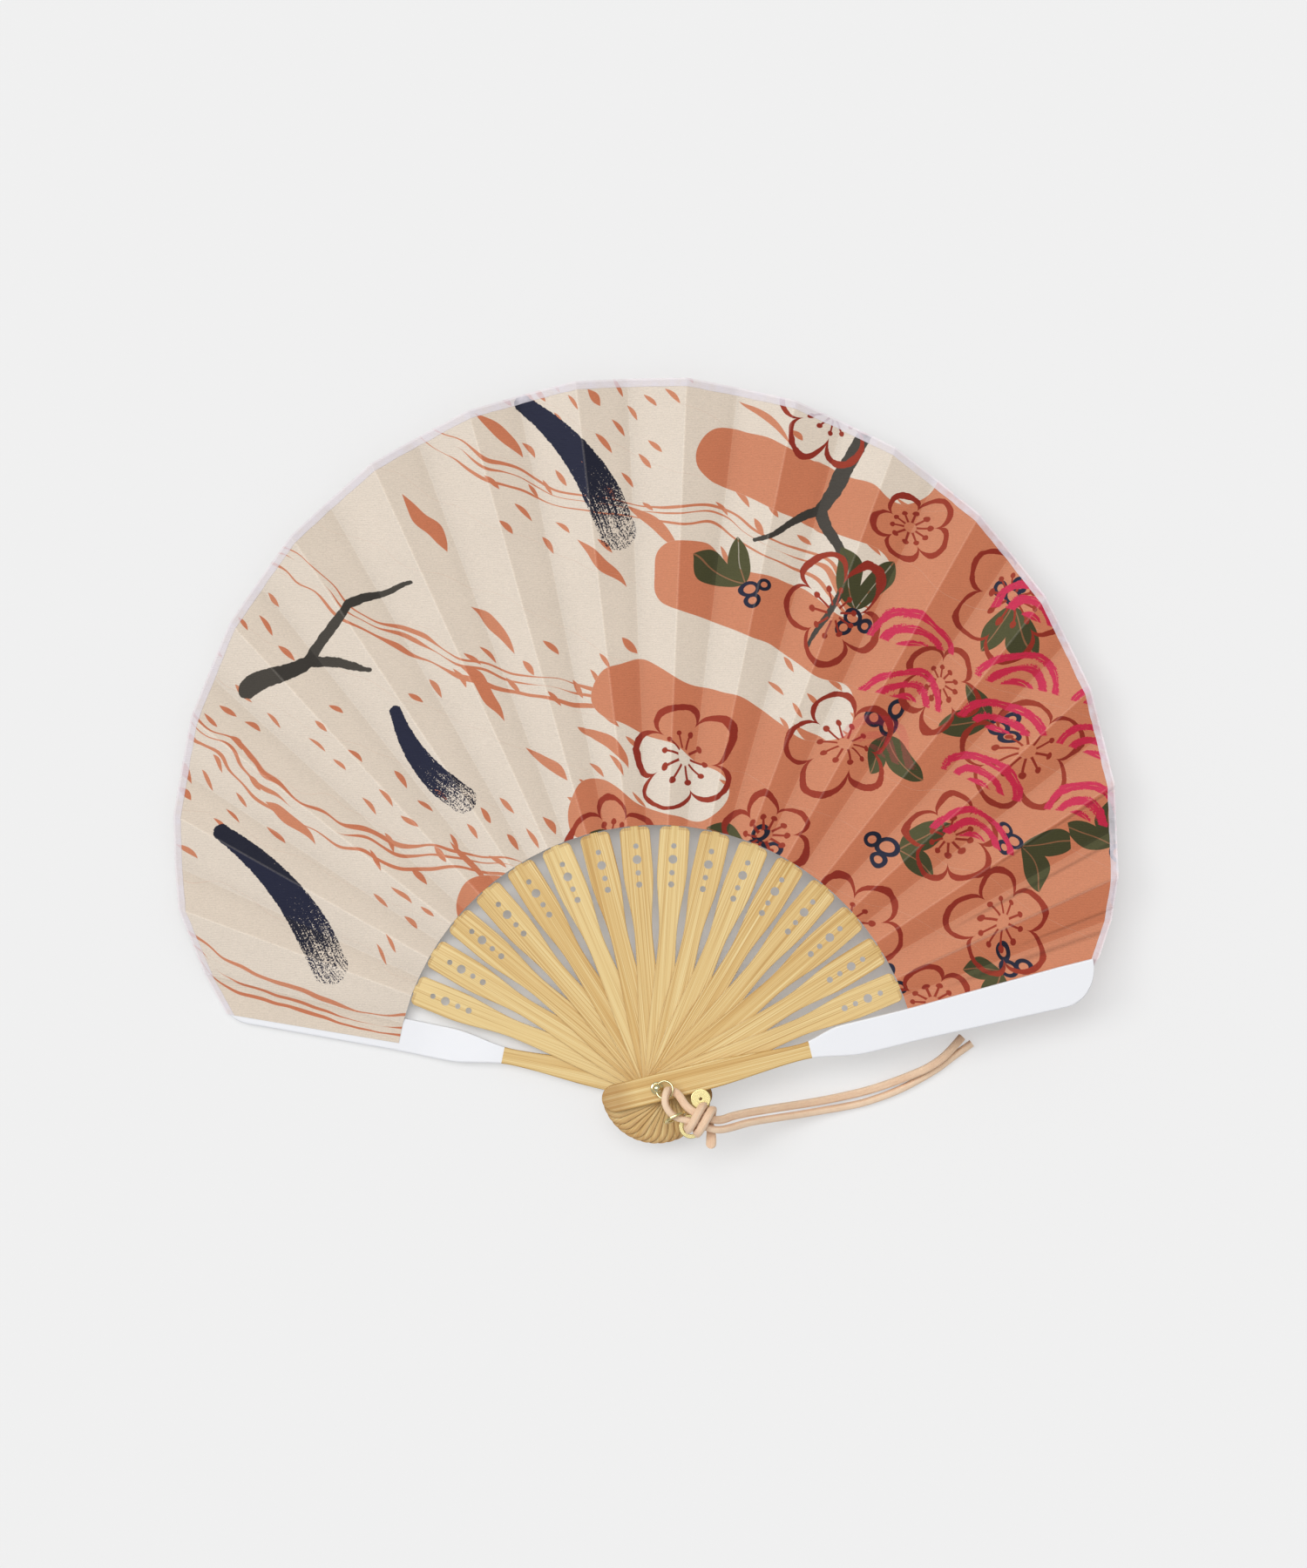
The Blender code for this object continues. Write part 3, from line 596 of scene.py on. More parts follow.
def brush_mark(x, y, start, end, half_width, bend):
    """A dry brush mark from start to end that swells, bends and runs out in bristle streaks."""
    along, across, length = along_run(x, y, start, end)
    share = (along / length).clamped()
    across = across - share * (1.0 - share) * 4.0 * bend
    rough = noise((x, y), 0.9, 4.0, 0.65)
    streaks = noise((along * 0.06, across * 1.9), 1.0, 3.0, 0.75)
    width = (share * 0.7 + 0.45).least(1.0) * half_width
    stipple = noise((x, y, 11.0), 2.6, 2.0, 0.6)
    edge = distance_out(past_ends(along, length), across) - width + rough * 1.1
    drag = (share - 0.3).most(across / half_width * 0.5)
    dry = streaks * 2.2 + stipple * 2.6 + drag * 1.9 - 1.25
    return edge.most(dry).inside(0.16)


def branch(x, y, joints):
    """Distance outside a twig through joints of (x, y, half width)."""
    outside = []
    for (*start, half0), (*end, half1) in zip(joints, joints[1:]):
        along, across, length = along_run(x, y, start, end)
        half = (along / length).clamped() * (half1 - half0) + half0
        outside.append(distance_out(past_ends(along, length), across) - half)
    return reduce(Term.least, outside)


def mist_ground(x, y):
    """1 on the salmon side, where bands of mist with round ends reach into each other, and the place along them."""
    u, v = turned_place(x, y, MIST_SLANT)
    row = (v / MIST_BAND).apply("FLOOR")
    reach = add_node(x.tree, "ShaderNodeTexWhiteNoise", {"W": row}, noise_dimensions="1D").outputs["Value"]
    salmon_row = row.apply("PINGPONG", 1.0)
    cream_row = 1.0 - salmon_row
    end = Term(reach) * 28.0 + cream_row * 46.0 - 72.0
    past = ((u - end) * (cream_row * 2.0 - 1.0)).most(0.0)
    finger = (distance_out(past, v - (row + 0.5) * MIST_BAND) - MIST_BAND / 2).inside(0.15)
    return salmon_row * finger + cream_row * (1.0 - finger), u, v


def in_garden(x, y):
    """1 where a motif's middle lies in the part of the leaf with blossoms."""
    u, _v = turned_place(x, y, MIST_SLANT)
    return u.above(GARDEN_START)


def blossoms(x, y, radius):
    """Outlines of five-petal blossoms with their stamens, and a random number for each."""
    dx, dy, chance, middle = cells(x, y, BLOSSOM_PITCH, 0.32)
    away = distance_out(dx, dy)
    angle = dy.apply("ARCTAN2", dx) + chance[1] * math.tau
    lobe = abs((angle * 2.5).cosine()).apply("POWER", 0.55)
    petal_edge = (lobe * 0.38 + 0.6) * (chance[0] * 0.16 + 0.84) * radius
    brush = noise((x, y, 5.0), 0.25, 3.0) * 1.5 + 0.92
    outline = (abs(away - petal_edge) - brush).inked()
    beside = abs((angle * 5.0).sine()) * away * 0.2
    from_tip = away - radius * 0.4
    stamens = (beside - 0.32).inked() * from_tip.inside(0.3) * (radius * 0.13 - away).inside(0.3)
    pips = (distance_out(from_tip, beside) - 0.85).inked()
    return outline.most(stamens).most(pips) * in_garden(*middle), chance[2]


def grass(x, y):
    """Long blades, and tufts of short dashes."""
    u, v = turned_place(x, y, GRASS_SLANT)
    dx, dy, chance, _middle = cells(u, v, BLADE_PITCH, 0.4)
    blade = lens(dx + 12.0, dy + dx * dx * 0.012, chance[0] * 8.0 + 16.0, chance[1] * 1.5 + 1.0)
    blades = blade.inked() * chance[2].above(0.42)
    dx, dy, chance, middle = cells(u + 9.0, v, DASH_PITCH, 0.3)
    tuft = noise((*middle, 8.0), 0.028, 1.0).above(0.04)
    dash = lens(dx + 3.6, dy + dx * dx * 0.03, chance[0] * 2.2 + 5.0, 0.75).inked()
    return [blades, dash * tuft]


def ripples(x, y, u, v):
    """Thin wavy lines that run with the mist."""
    ripple = abs(v + (u * 0.04).sine() * 7.0 - 12.0).apply("MODULO", RIPPLE_PITCH)
    lines = []
    for place, half_width in RIPPLES:
        thin = noise((x, y, place), 0.07, 0.0) * 1.3 + half_width
        lines.append((abs(ripple - place) - thin).inked())
    return lines


def leaf_pairs(x, y):
    """Pairs of leaves with their veins, and the berries beside each pair."""
    dx, dy, chance, middle = cells(x + 17.0, y + 9.0, LEAF_PAIR_PITCH, 0.4)
    dx, dy = turned_place(dx, dy, chance[0] * math.tau)
    shown = in_garden(*middle) * chance[2].above(0.18)
    outside = []
    veins = []
    for angle, length, half_width, half_vein in LEAF_PAIR:
        leaf_x, leaf_y = turned_place(dx, dy, angle)
        outside.append(lens(leaf_x, leaf_y, length, half_width))
        veins.append((abs(leaf_y) - half_vein).inside(0.1))
    leaves = reduce(Term.least, outside).inked() * (1.0 - reduce(Term.most, veins) * 0.4)
    berries = []
    for berry_x, berry_y, radius in BERRIES:
        away = distance_out(dx - berry_x, dy - berry_y)
        berries.append((abs(away - radius) - 0.62).inked() * shown)
    return leaves * shown, berries


def waves(x, y, hand_x, hand_y):
    """Dry brushed arcs within one round part of the leaf."""
    wave_x, wave_y = turned_place(hand_x, hand_y, WAVE_SLANT)
    dx, dy, _chance, middle = cells(wave_x, wave_y, WAVE_PITCH, 0.14)
    dy = dy + 8.0
    away = distance_out(dx, dy)
    stroke = noise((x, y, 7.0), 0.22, 4.0, 0.6) * 1.7 + 1.15
    dry = noise((away * 2.2, dx * 0.1, dy * 0.1), 1.0, 3.0, 0.7) - 0.13
    arcs = reduce(Term.least, [abs(away - radius) - stroke for radius in WAVE_RADII])
    stipple = noise((x, y, 17.0), 2.4, 2.0, 0.6) * noise((x, y, 18.0), 0.12, 1.0)
    arcs = (arcs + stipple * 16.0).most(dry * 4.0).inked() * (3.0 - dy).inside(0.3)
    waves_x, waves_y = turned_place(*WAVES_AT, WAVE_SLANT)
    return arcs * (distance_out(middle[0] - waves_x, middle[1] - waves_y) - WAVES_REACH).inside(0.5)


def add_print(look, x, y):
    """The leaf's printed colour at a place in millimetres, ink by ink from the ground up."""
    hand_x = x + noise((x, y, 3.0), 0.055, 0.6) * HAND_WAVER
    hand_y = y + noise((x, y, 9.0), 0.055, 0.6) * HAND_WAVER
    salmon_side, u, v = mist_ground(hand_x, hand_y)
    cream_side = 1.0 - salmon_side
    layers = [(salmon_side, look.salmon)]
    layers += [(mask * cream_side, look.salmon) for mask in grass(hand_x, hand_y) + ripples(x, y, u, v)]
    bark = noise((x, y, 6.0), 0.5, 3.0) * 0.9
    layers += [((branch(hand_x, hand_y, joints) + bark).inked(), look.charcoal) for joints in TWIGS]
    leaves, berries = leaf_pairs(hand_x, hand_y)
    layers.append((leaves, look.olive))
    layers += [(berry, look.navy) for berry in berries]
    large, _chance = blossoms(hand_x, hand_y, BLOSSOM_RADIUS)
    small, chance = blossoms(hand_x + 22.0, hand_y + 26.0, SMALL_BLOSSOM_RADIUS)
    layers += [(large, look.rust), (small * chance.above(0.45), look.rust)]
    layers.append((waves(x, y, hand_x, hand_y), look.magenta))
    layers += [(brush_mark(x, y, *mark), look.navy) for mark in BRUSH_MARKS]
    return layered(look.cream, layers)


def fold_rounding(from_fold, reach, sign):
    """Height in millimetres that rounds a fold, so that the facets on both sides of it shade smoothly."""
    inside = (reach - from_fold).most(0.0)
    return inside * inside * (sign * LEAF_SLOPE / (2 * reach))


def gathers(x, y):
    """Painted shade in the sharp creases beside the front guard, where the cloth is gathered."""
    radius = distance_out(x, y)
    angle = y.apply("ARCTAN2", x)
    lines = []
    for azimuth, start, end, half_width in GATHERS:
        off = abs(angle - math.radians(azimuth)) * radius
        reach = (start - radius).most(radius - end).inside(14.0)
        lines.append((1.0 - off / half_width).most(0.0) * reach)
    return reduce(Term.most, lines)


def leaf_cloth(look):
    """Printed cloth with a ribbed weave, pressed folds with painted highlights and painted shade, and a sheer tape over
    its outer edge.

    The print looks deeper where a rib is glued behind the thin cloth, and those facets are also darkened there as
    painted shade, so there are two materials: over a rib, and free.
    """
    made, tree, shader = material(
        "leaf_over_rib", look.cream, Roughness=0.6, Specular_IOR_Level=0.28, Sheen_Weight=0.06, Sheen_Roughness=0.5
    )
    x, y = uv_terms(tree, "plan")
    from_ridge, from_furrow = uv_terms(tree, "folds")
    from_rim, _zero = uv_terms(tree, "rim")
    # Painted shade: the gamma darkens the facets over the ribs, beside the print's depth there.
    depth = {"Color": add_print(look, x, y), "Gamma": look.depth}
    deep_and_shaded = add_node(tree, "ShaderNodeGamma", depth, name=DEPTH_AND_SHADE_NODE).outputs[0]

    waver = noise((x * 0.15, y * 0.4, 14.0), 1.0, 1.0) * 0.7
    ribs = ((y + waver) * (math.tau * MM / look.weave)).sine()
    slubs = noise((x * 0.55, y * 3.6, 2.0), 1.0, 3.0, 0.6)
    flecks = noise((x * 1.8, y * 3.0, 12.0), 1.0, 2.0, 0.6)
    clouds = noise((x, y), 0.05, 2.0)
    # Painted shade: darker towards each furrow, and in the gathered creases beside the front guard, which the bump
    # below also dents.
    valley_shade = (1.0 - from_furrow / VALLEY_REACH).most(0.0)
    gathered = gathers(x, y)
    shade = slubs * 0.3 + ribs * 0.045 + flecks * 0.36 + clouds * 0.08 + 1.0
    # Painted highlights: paler lines along the ridges and the furrows, where the rounded folds would catch the light.
    ridge_highlight = (from_ridge - 0.3).inside(0.3) * (flecks * 2.0 + slubs * 1.6 + 0.8).clamped()
    furrow_highlight = (from_furrow - 0.25).inside(0.3) * (slubs * 2.0 + 0.6).clamped()
    shade = shade - valley_shade * valley_shade * 0.08 - gathered * 0.28 + ridge_highlight * 0.1 + furrow_highlight * 0.07
    tone = add_node(tree, "ShaderNodeVectorMath", {0: deep_and_shaded, "Scale": shade}, operation="SCALE")

    tape_width = look.tape_width / MM
    tape = (from_rim - tape_width + noise((x, y, 16.0), 0.2, 1.0) * 0.5).inside(0.12)
    mottle = noise((x, y, 4.0), 0.35, 3.0) * 0.7
    taped = (tape * (mottle + 0.72)).clamped()
    folded_over = (from_rim - 0.55).inside(0.3) * 0.55
    paint(shader, tone.outputs[0], (ridge_highlight * 0.07, RIDGE_HIGHLIGHT), (taped, look.tape), (folded_over, TURNED_CLOTH))

    pucker = noise((x * 0.5, y * 0.5, 1.0), 0.22, 2.0)
    rounding = fold_rounding(from_furrow, FURROW_ROUNDING, 1.0) + fold_rounding(from_ridge, RIDGE_ROUNDING, -1.0)
    height = rounding + gathered * -0.12 + ribs * 0.012 + slubs * 0.07 + flecks * 0.07 + pucker * 0.2 + tape * 0.08
    bumped(shader, height, 1.0 * MM)
    free = made.copy()
    free.name = "leaf_free"
    free.node_tree.nodes[DEPTH_AND_SHADE_NODE].inputs["Gamma"].default_value = 1.0
    return made, free


def bamboo(name, look):
    """Split bamboo: bands, fibres and hairs along the piece, in its own UV map, with painted shade along the edges,
    strongest round the butts.
    """
    made, tree, shader = material(name, look.light, Roughness=0.45, Specular_IOR_Level=0.4)
    along, across = uv_terms(tree, "grain")
    inward, place = uv_terms(tree, "outline")
    width = look.grain / MM
    stick = noise((along * 0.0015, 0.5), 1.0, 0.0)
    lane = across + noise((along * 0.02, across * 0.15, 7.0), 1.0, 1.0) * 0.6
    bands = noise((along * 0.006, lane / width), 1.0, 2.0, 0.5)
    fibres = noise((along * 0.012, lane * (3.6 / width), 3.0), 1.0, 1.0, 0.5)
    hairs = noise((along * 0.03, lane * (8.0 / width), 8.0), 1.0, 1.0, 0.5)
    tone = (bands * 1.6 + fibres * 1.6 + hairs * 1.0 + stick * 1.6 + 0.42).clamped()
    brown = ((fibres + hairs * 0.8 + bands * 0.4 - 0.1) * 9.0).clamped()
    pale = ((-0.1 - fibres - hairs * 0.8 - bands * 0.3) * 9.0).clamped()
    # Painted shade: browner towards the outline, strongest round the butt where the ribs lie stacked.
    butt = (-place / 6.0 - 1.0).clamped()
    edge = (1.0 - inward / (butt * 0.9 + 0.5)).clamped() * (butt * 0.4 + 0.35)
    paint(
        shader, look.light, (tone, look.dark), (brown * 0.3, look.fibre_and_edge_shade), (pale * 0.4, look.pale), (edge, look.fibre_and_edge_shade)
    )
    bumped(shader, bands * 0.5 + fibres * 0.7 + hairs * 0.3, 0.12 * MM, 0.7)
    return made


def lacquer(look):
    """White gloss lacquer, a little uneven from the brush."""
    made, tree, shader = material(
        "white_lacquer", look.lacquer, Roughness=look.gloss, Coat_Weight=0.3, Coat_Roughness=0.15
    )
    bumped(shader, noise(object_place(tree), 420.0, 2.0), 0.05 * MM, 0.35)
    return made


def metal(name, colour, roughness):
    """Polished metal with fine scratches."""
    made, tree, shader = material(name, colour, Metallic=1.0)
    place = object_place(tree)
    wear = noise(place, 900.0, 3.0)
    plug(shader.inputs["Roughness"], wear * 0.16 + roughness)
    bumped(shader, noise(place, 700.0, 2.0), 0.01 * MM, 0.15)
    return made


def leather(look):
    """Soft leather: a smooth grain side with fibres along it, paler and fuzzy at the cut edges."""
    made, tree, shader = material("lace_leather", look.leather, Roughness=0.72, Sheen_Weight=0.2, Sheen_Roughness=0.4)
    place = object_place(tree)
    along, across = uv_terms(tree, "strap")
    nap = noise(place, 1700.0, 4.0, 0.65)
    patches = noise(place, 160.0, 3.0)
    fibres = noise((along * 0.35, across * 3.2), 1.0, 3.0, 0.6)
    tone = (nap * 0.7 + patches * 1.0 + fibres * 1.5 + 0.35).clamped()
    cut = (LACE_WIDTH / MM / 2 - 0.22 - abs(across) + nap * 0.3).inside(0.2)
    paint(shader, look.leather, (tone * 0.6, DARK_LEATHER), (cut * 0.45, CUT_LEATHER))
    bumped(shader, nap + fibres * 0.8, 0.12 * MM, 0.6)
    return made


def rib_azimuth(number):
    return FIRST_RIB_AZIMUTH - (number - 1) * RIB_STEP


def rib_level(number):
    return REAR_INNER_Z + number * RIB_LAYER - RIB_THICKNESS / 2


def turned(azimuth, height=0.0):
    """A frame at the pin: X points outwards along the azimuth."""
    return Matrix.Translation((0, 0, height)) @ Matrix.Rotation(math.radians(azimuth), 4, "Z")


def ramp(value, start, end):
    """0 before the start, 1 past the end, and smooth between."""
    share = min(1.0, max(0.0, (value - start) / (end - start)))
    return share * share * (3 - 2 * share)


def steps(start, end, count):
    return [start + (end - start) * i / count for i in range(count + 1)]


def arc(x, y, radius, start, end, count):
    """Points round a centre, from one angle in degrees to another."""
    return [(x + radius * cosine, y + radius * sine) for cosine, sine in map(compass, steps(start, end, count))]


def rim_radius(azimuth):
    """How far the leaf reaches from the pin: to a circle, and less far near both guards."""
    direction = Vector(compass(azimuth))
    along = RIM_CENTRE.dot(direction)
    radius = along + math.sqrt(along**2 - RIM_CENTRE.length_squared + RIM_RADIUS**2)
    past_rear = azimuth - (REAR_AZIMUTH + LEAF_LAP_ANGLE - REAR_TRIM_SPAN)
    past_front = FRONT_AZIMUTH - LEAF_LAP_ANGLE + FRONT_TRIM_SPAN - azimuth
    radius -= REAR_TRIM * max(0.0, past_rear / REAR_TRIM_SPAN)
    radius -= FRONT_TRIM * max(0.0, past_front / FRONT_TRIM_SPAN)
    return radius


def add_object(name, data):
    made = bpy.data.objects.new(name, data)
    bpy.context.scene.collection.objects.link(made)
    return made


def add_piece(name, mesh, *looks):
    piece = add_object(name, mesh)
    mesh.materials.clear()
    for look in looks:
        mesh.materials.append(look)
    return piece


def smooth_faces(mesh):
    mesh.shade_smooth()
    mesh.set_sharp_from_angle(angle=math.radians(SHARP_ANGLE))


def mesh_from(name, bm):
    mesh = bpy.data.meshes.new(name)
    bm.to_mesh(mesh)
    bm.free()
    return mesh


def finished_mesh(name, bm):
    """The mesh of what was built, with its faces outwards and shaded smooth between sharp edges."""
    bmesh.ops.recalc_face_normals(bm, faces=bm.faces)
    mesh = mesh_from(name, bm)
    smooth_faces(mesh)
    return mesh


def lofted(name, rings):
    """Sections of equal count joined along their length, with both ends closed."""
    bm = bmesh.new()
    loops = [[bm.verts.new(point) for point in ring] for ring in rings]
    for first, second in zip(loops, loops[1:]):
        for i in range(len(first)):
            j = (i + 1) % len(first)
            bm.faces.new((first[i], first[j], second[j], second[i]))
    bm.faces.new(loops[0])
    bm.faces.new(loops[-1])
    return finished_mesh(name, bm)


def spun(name, profile, count, closed=False):
    """A profile of (radius, height) turned about Z, with a single point for each of its places on the axis."""
    bm = bmesh.new()
    on_axis = {height: bm.verts.new((0, 0, height)) for radius, height in profile if radius == 0}
    columns = []
    for cosine, sine in map(compass, steps(0, 360, count)[:-1]):
        columns.append([
            bm.verts.new((radius * cosine, radius * sine, height)) if radius else on_axis[height]
            for radius, height in profile
        ])
    for first, second in zip(columns, columns[1:] + columns[:1]):
        pairs = list(zip(first, second))
        for (a, b), (c, d) in zip(pairs, pairs[1:] + pairs[:closed]):
            bm.faces.new(tuple(dict.fromkeys((a, b, d, c))))
    return finished_mesh(name, bm)


def rounded_section(left, right, low, high, radius, per_corner=CORNER_STEPS, shares=()):
    """A rounded rectangle across a strip, as (across, height) points.

    Points just inside the corners keep the flats flat; shares of the half width place more points on them.
    """
    radius = min(radius, (right - left) / 2 * FULLEST_ROUNDING[0], (high - low) / 2 * FULLEST_ROUNDING[1])
    reach = (right - left) / 2 - radius
    middle = (left + right) / 2
    inside = max(0.0, reach - FLAT_MARGIN)
    flat = [middle + inside * share for share in (1.0, *sorted(shares, reverse=True), -1.0)]

    def corner(side, level, start):
        return arc(middle + side * reach, level, radius, start, start + 90, per_corner)

    return (
        corner(1, high - radius, 0) + [(v, high) for v in flat] + corner(-1, high - radius, 90)
        + corner(-1, low + radius, 180) + [(v, low) for v in reversed(flat)] + corner(1, low + radius, 270)
    )


def node_tree(name, sockets):
    """An empty geometry tree with named inputs by kind; returns the tree and its input and output nodes."""
    tree = bpy.data.node_groups.new(name, "GeometryNodeTree")
    tree.interface.new_socket("Geometry", in_out="INPUT", socket_type="NodeSocketGeometry")
    for kind, labels in sockets.items():
        for label in labels:
            tree.interface.new_socket(label, in_out="INPUT", socket_type="NodeSocket" + kind)
    tree.interface.new_socket("Geometry", in_out="OUTPUT", socket_type="NodeSocketGeometry")
    return tree, tree.nodes.new("NodeGroupInput"), tree.nodes.new("NodeGroupOutput")


def finish_tree(tree, shape, look, made):
    """Ends a geometry tree: real geometry with its material."""
    real = add_node(tree, "GeometryNodeRealizeInstances", {"Geometry": shape})
    coated = add_node(tree, "GeometryNodeSetMaterial", {"Geometry": real.outputs[0], "Material": look})
    plug(made.inputs[0], coated.outputs[0])


def mesh_by_nodes(blank, tree, values):
    """The mesh that a geometry tree makes of a blank piece, with the tree's inputs set by name; the blank goes."""
    modifier = blank.modifiers.new(tree.name, "NODES")
    modifier.node_group = tree
    for item in tree.interface.items_tree:
        if item.item_type == "SOCKET" and item.in_out == "INPUT" and item.name in values:
            modifier[item.identifier] = values[item.name]
    mesh = bpy.data.meshes.new_from_object(blank.evaluated_get(bpy.context.evaluated_depsgraph_get()))
    bpy.data.objects.remove(blank, do_unlink=True)
    return mesh


def facet_tree():
    """Fills a leaf facet between two folds, and stores its plan and its distances from the folds and the rim."""
    tree, given, made = node_tree("Leaf facet", {
        "Vector": FACET_CORNERS, "Int": ("Rows", "Columns"), "Float": ("Ridge side", "Furrow side"),
        "Material": ("Cloth",),
    })
    put = given.outputs
    grid = add_node(
        tree, "GeometryNodeMeshGrid",
        {"Size X": 1.0, "Size Y": 1.0, "Vertices X": put["Rows"], "Vertices Y": put["Columns"]},
    )
    unit_x, unit_y, _z = parts(add_node(tree, "GeometryNodeInputPosition").outputs[0])
    along = unit_x + 0.5
    across = unit_y + 0.5

    def distance(first, second):
        node = add_node(tree, "ShaderNodeVectorMath", {0: first, 1: second}, operation="DISTANCE")
        return Term(node.outputs["Value"])

    corners = [put[label] for label in FACET_CORNERS]
    first_fold = mixed(along, *corners[:2], "VECTOR")
    second_fold = mixed(along, *corners[2:], "VECTOR")
    place = mixed(across, first_fold, second_fold, "VECTOR")
    rim = mixed(across, corners[1], corners[3], "VECTOR")
    width = distance(first_fold, second_fold)
    from_ridge, from_furrow = [abs(across - Term(put[side])) * width for side in ("Ridge side", "Furrow side")]
    captured = grid.outputs["Mesh"]
    stores = (("folds", vector(from_ridge, from_furrow)), ("rim", vector(distance(place, rim))), ("plan", place))
    for label, value in stores:
        stored = add_node(
            tree, "GeometryNodeStoreNamedAttribute", {"Geometry": captured, "Name": label, "Value": value},
            data_type="FLOAT2", domain="CORNER",
        )
        captured = stored.outputs[0]
    moved = add_node(tree, "GeometryNodeSetPosition", {"Geometry": captured, "Position": place})
    smooth = add_node(tree, "GeometryNodeSetShadeSmooth", {"Geometry": moved.outputs[0]})
    finish_tree(tree, smooth.outputs[0], put["Cloth"], made)
    return tree


class Fold(NamedTuple):
    """A straight fold of the leaf: where it runs, its share of the closing turn, and how far it is cut short."""

    azimuth: float
    base: float
    slope: float
    share: float
    notch: float = 0.0

    def point(self, radius):
        cosine, sine = compass(self.azimuth)
        return Vector((radius * cosine, radius * sine, self.base + self.slope * radius))

    def inner(self):
        return self.point(LEAF_INNER_RADIUS)

    def outer(self):
        return self.point(rim_radius(self.azimuth) - self.notch)


def rib_fold(number, offset, slope, notch=0.0):
    """A fold beside a rib, which it keeps to as the fan closes."""
    azimuth = rib_azimuth(number)
    share = (REAR_AZIMUTH - azimuth) / CLOSING_ANGLE
    return Fold(azimuth + offset, rib_level(number) + LEAF_LIFT, slope, share, notch)


def ridge(number):
    return rib_fold(number, RIDGE_ANGLE, RIDGE_SLOPE)


def furrow(number):
    return rib_fold(number, -FURROW_ANGLE, FURROW_SLOPE, RIM_NOTCH)


def bend_facet(piece, first, second):
    """Works out the slant across a flat facet between the guards at which a blend's weight would stay the same all
    along both folds, and bakes the facet's place into its mesh.
    """
    cosine, sine = compass((first.azimuth + second.azimuth) / 2)
    half = math.radians(abs(first.azimuth - second.azimuth) / 2)
    lean_out = (first.slope + second.slope) / (2 * math.cos(half))
    lean_round = (first.slope - second.slope) / (2 * math.sin(half))
    radial = Vector((cosine, sine, 0))
    tangent = Vector((-sine, cosine, 0))
    direction = Vector((0, 0, 1)) - radial * lean_out - tangent * lean_round
    size = direction.length
    direction /= size
    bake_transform(piece)


def add_facet(tree, cloths, name, first, second, sides, node, body=None):
    """One facet of the leaf between two folds: it rides on a body, or lies free between the guards.

    The sides say which fold is a ridge and which is a furrow: 0 for the first, 1 for the second.
    """
    cloth = cloths[0] if body else cloths[1]
    corners = [first.inner(), first.outer(), second.inner(), second.outer()]
    mesh = mesh_by_nodes(add_piece(name, bpy.data.meshes.new(name)), tree, {
        **dict(zip(FACET_CORNERS, corners)), "Rows": FACET_ROWS, "Columns": FACET_COLUMNS,
        "Ridge side": sides[0], "Furrow side": sides[1], "Cloth": cloth,
    })
    if mesh.polygons[0].normal.z < 0:
        mesh.flip_normals()
    piece = add_piece(name, mesh, cloth)
    if body:
        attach(piece, body)
    else:
        bend_facet(piece, first, second)
    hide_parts(node)


def waisted(u, halves, neck_start, waist_at, blade_at):
    """Half width of a strip that narrows from its butt to a waist and widens to a blade."""
    butt, waist, blade = halves
    return butt + (waist - butt) * ramp(u, neck_start, waist_at) + (blade - waist) * ramp(u, waist_at, blade_at)


def rib_half_width(u):
    halves = (RIB_BUTT_HALF, RIB_WAIST_HALF, RIB_BLADE_HALF)
    return waisted(u, halves, RIB_NECK_START, RIB_WAIST_AT, RIB_BLADE_AT)


def butt_arc(half):
    """(distance from the pin, half width) round a butt's end, of the given half width."""
    return arc(half - BUTT_REACH, 0.0, half, *BUTT_TURNS, BUTT_STEPS)


def inside_butt(half, u, v):
    """Distance inside a butt's round end."""
    return half - math.hypot(u - half + BUTT_REACH, v)


def rib_stations():
    """(distance from the pin, half width) along a rib, from the butt to the foot of its stick."""
    stations = butt_arc(RIB_BUTT_HALF)
    inset = RIB_SHOULDER_RADIUS
    blade = steps(RIB_BLADE_AT, RIB_BLADE_END - inset, BLADE_STEPS)[1:]
    stations += [(u, rib_half_width(u)) for u in steps(RIB_START, RIB_BLADE_AT, NECK_STEPS) + blade]
    stations += arc(RIB_BLADE_END - inset, RIB_BLADE_HALF - inset, inset, *SHOULDER_TURNS, SHOULDER_STEPS)
    return stations + [(RIB_BLADE_END, STICK_HALF)]


def rib_blank(edge):
    """A rib without its holes, in its own frame, with a stick of unit length past the blade."""
    rings = []
    stick = [(RIB_BLADE_END + share, STICK_HALF) for share in steps(0.1, 1.0, STICK_STEPS)]
    for u, half in rib_stations() + stick:
        toward_leaf = ramp(u, RIB_TWIST_START, RIB_BLADE_END)
        thickness = RIB_THICKNESS + (STICK_THICKNESS - RIB_THICKNESS) * toward_leaf
        low, high = -thickness / 2, thickness / 2
        ring = []
        for v, w in rounded_section(-half, half, low, high, edge, SMALL_CORNER_STEPS, RIB_COLUMNS):
            off_axis = min(STICK_HALF, max(-STICK_HALF, v))
            ring.append((u, v, w + off_axis * LEAF_SLOPE * toward_leaf))
        rings.append(ring)
    return lofted("rib_blank", rings)


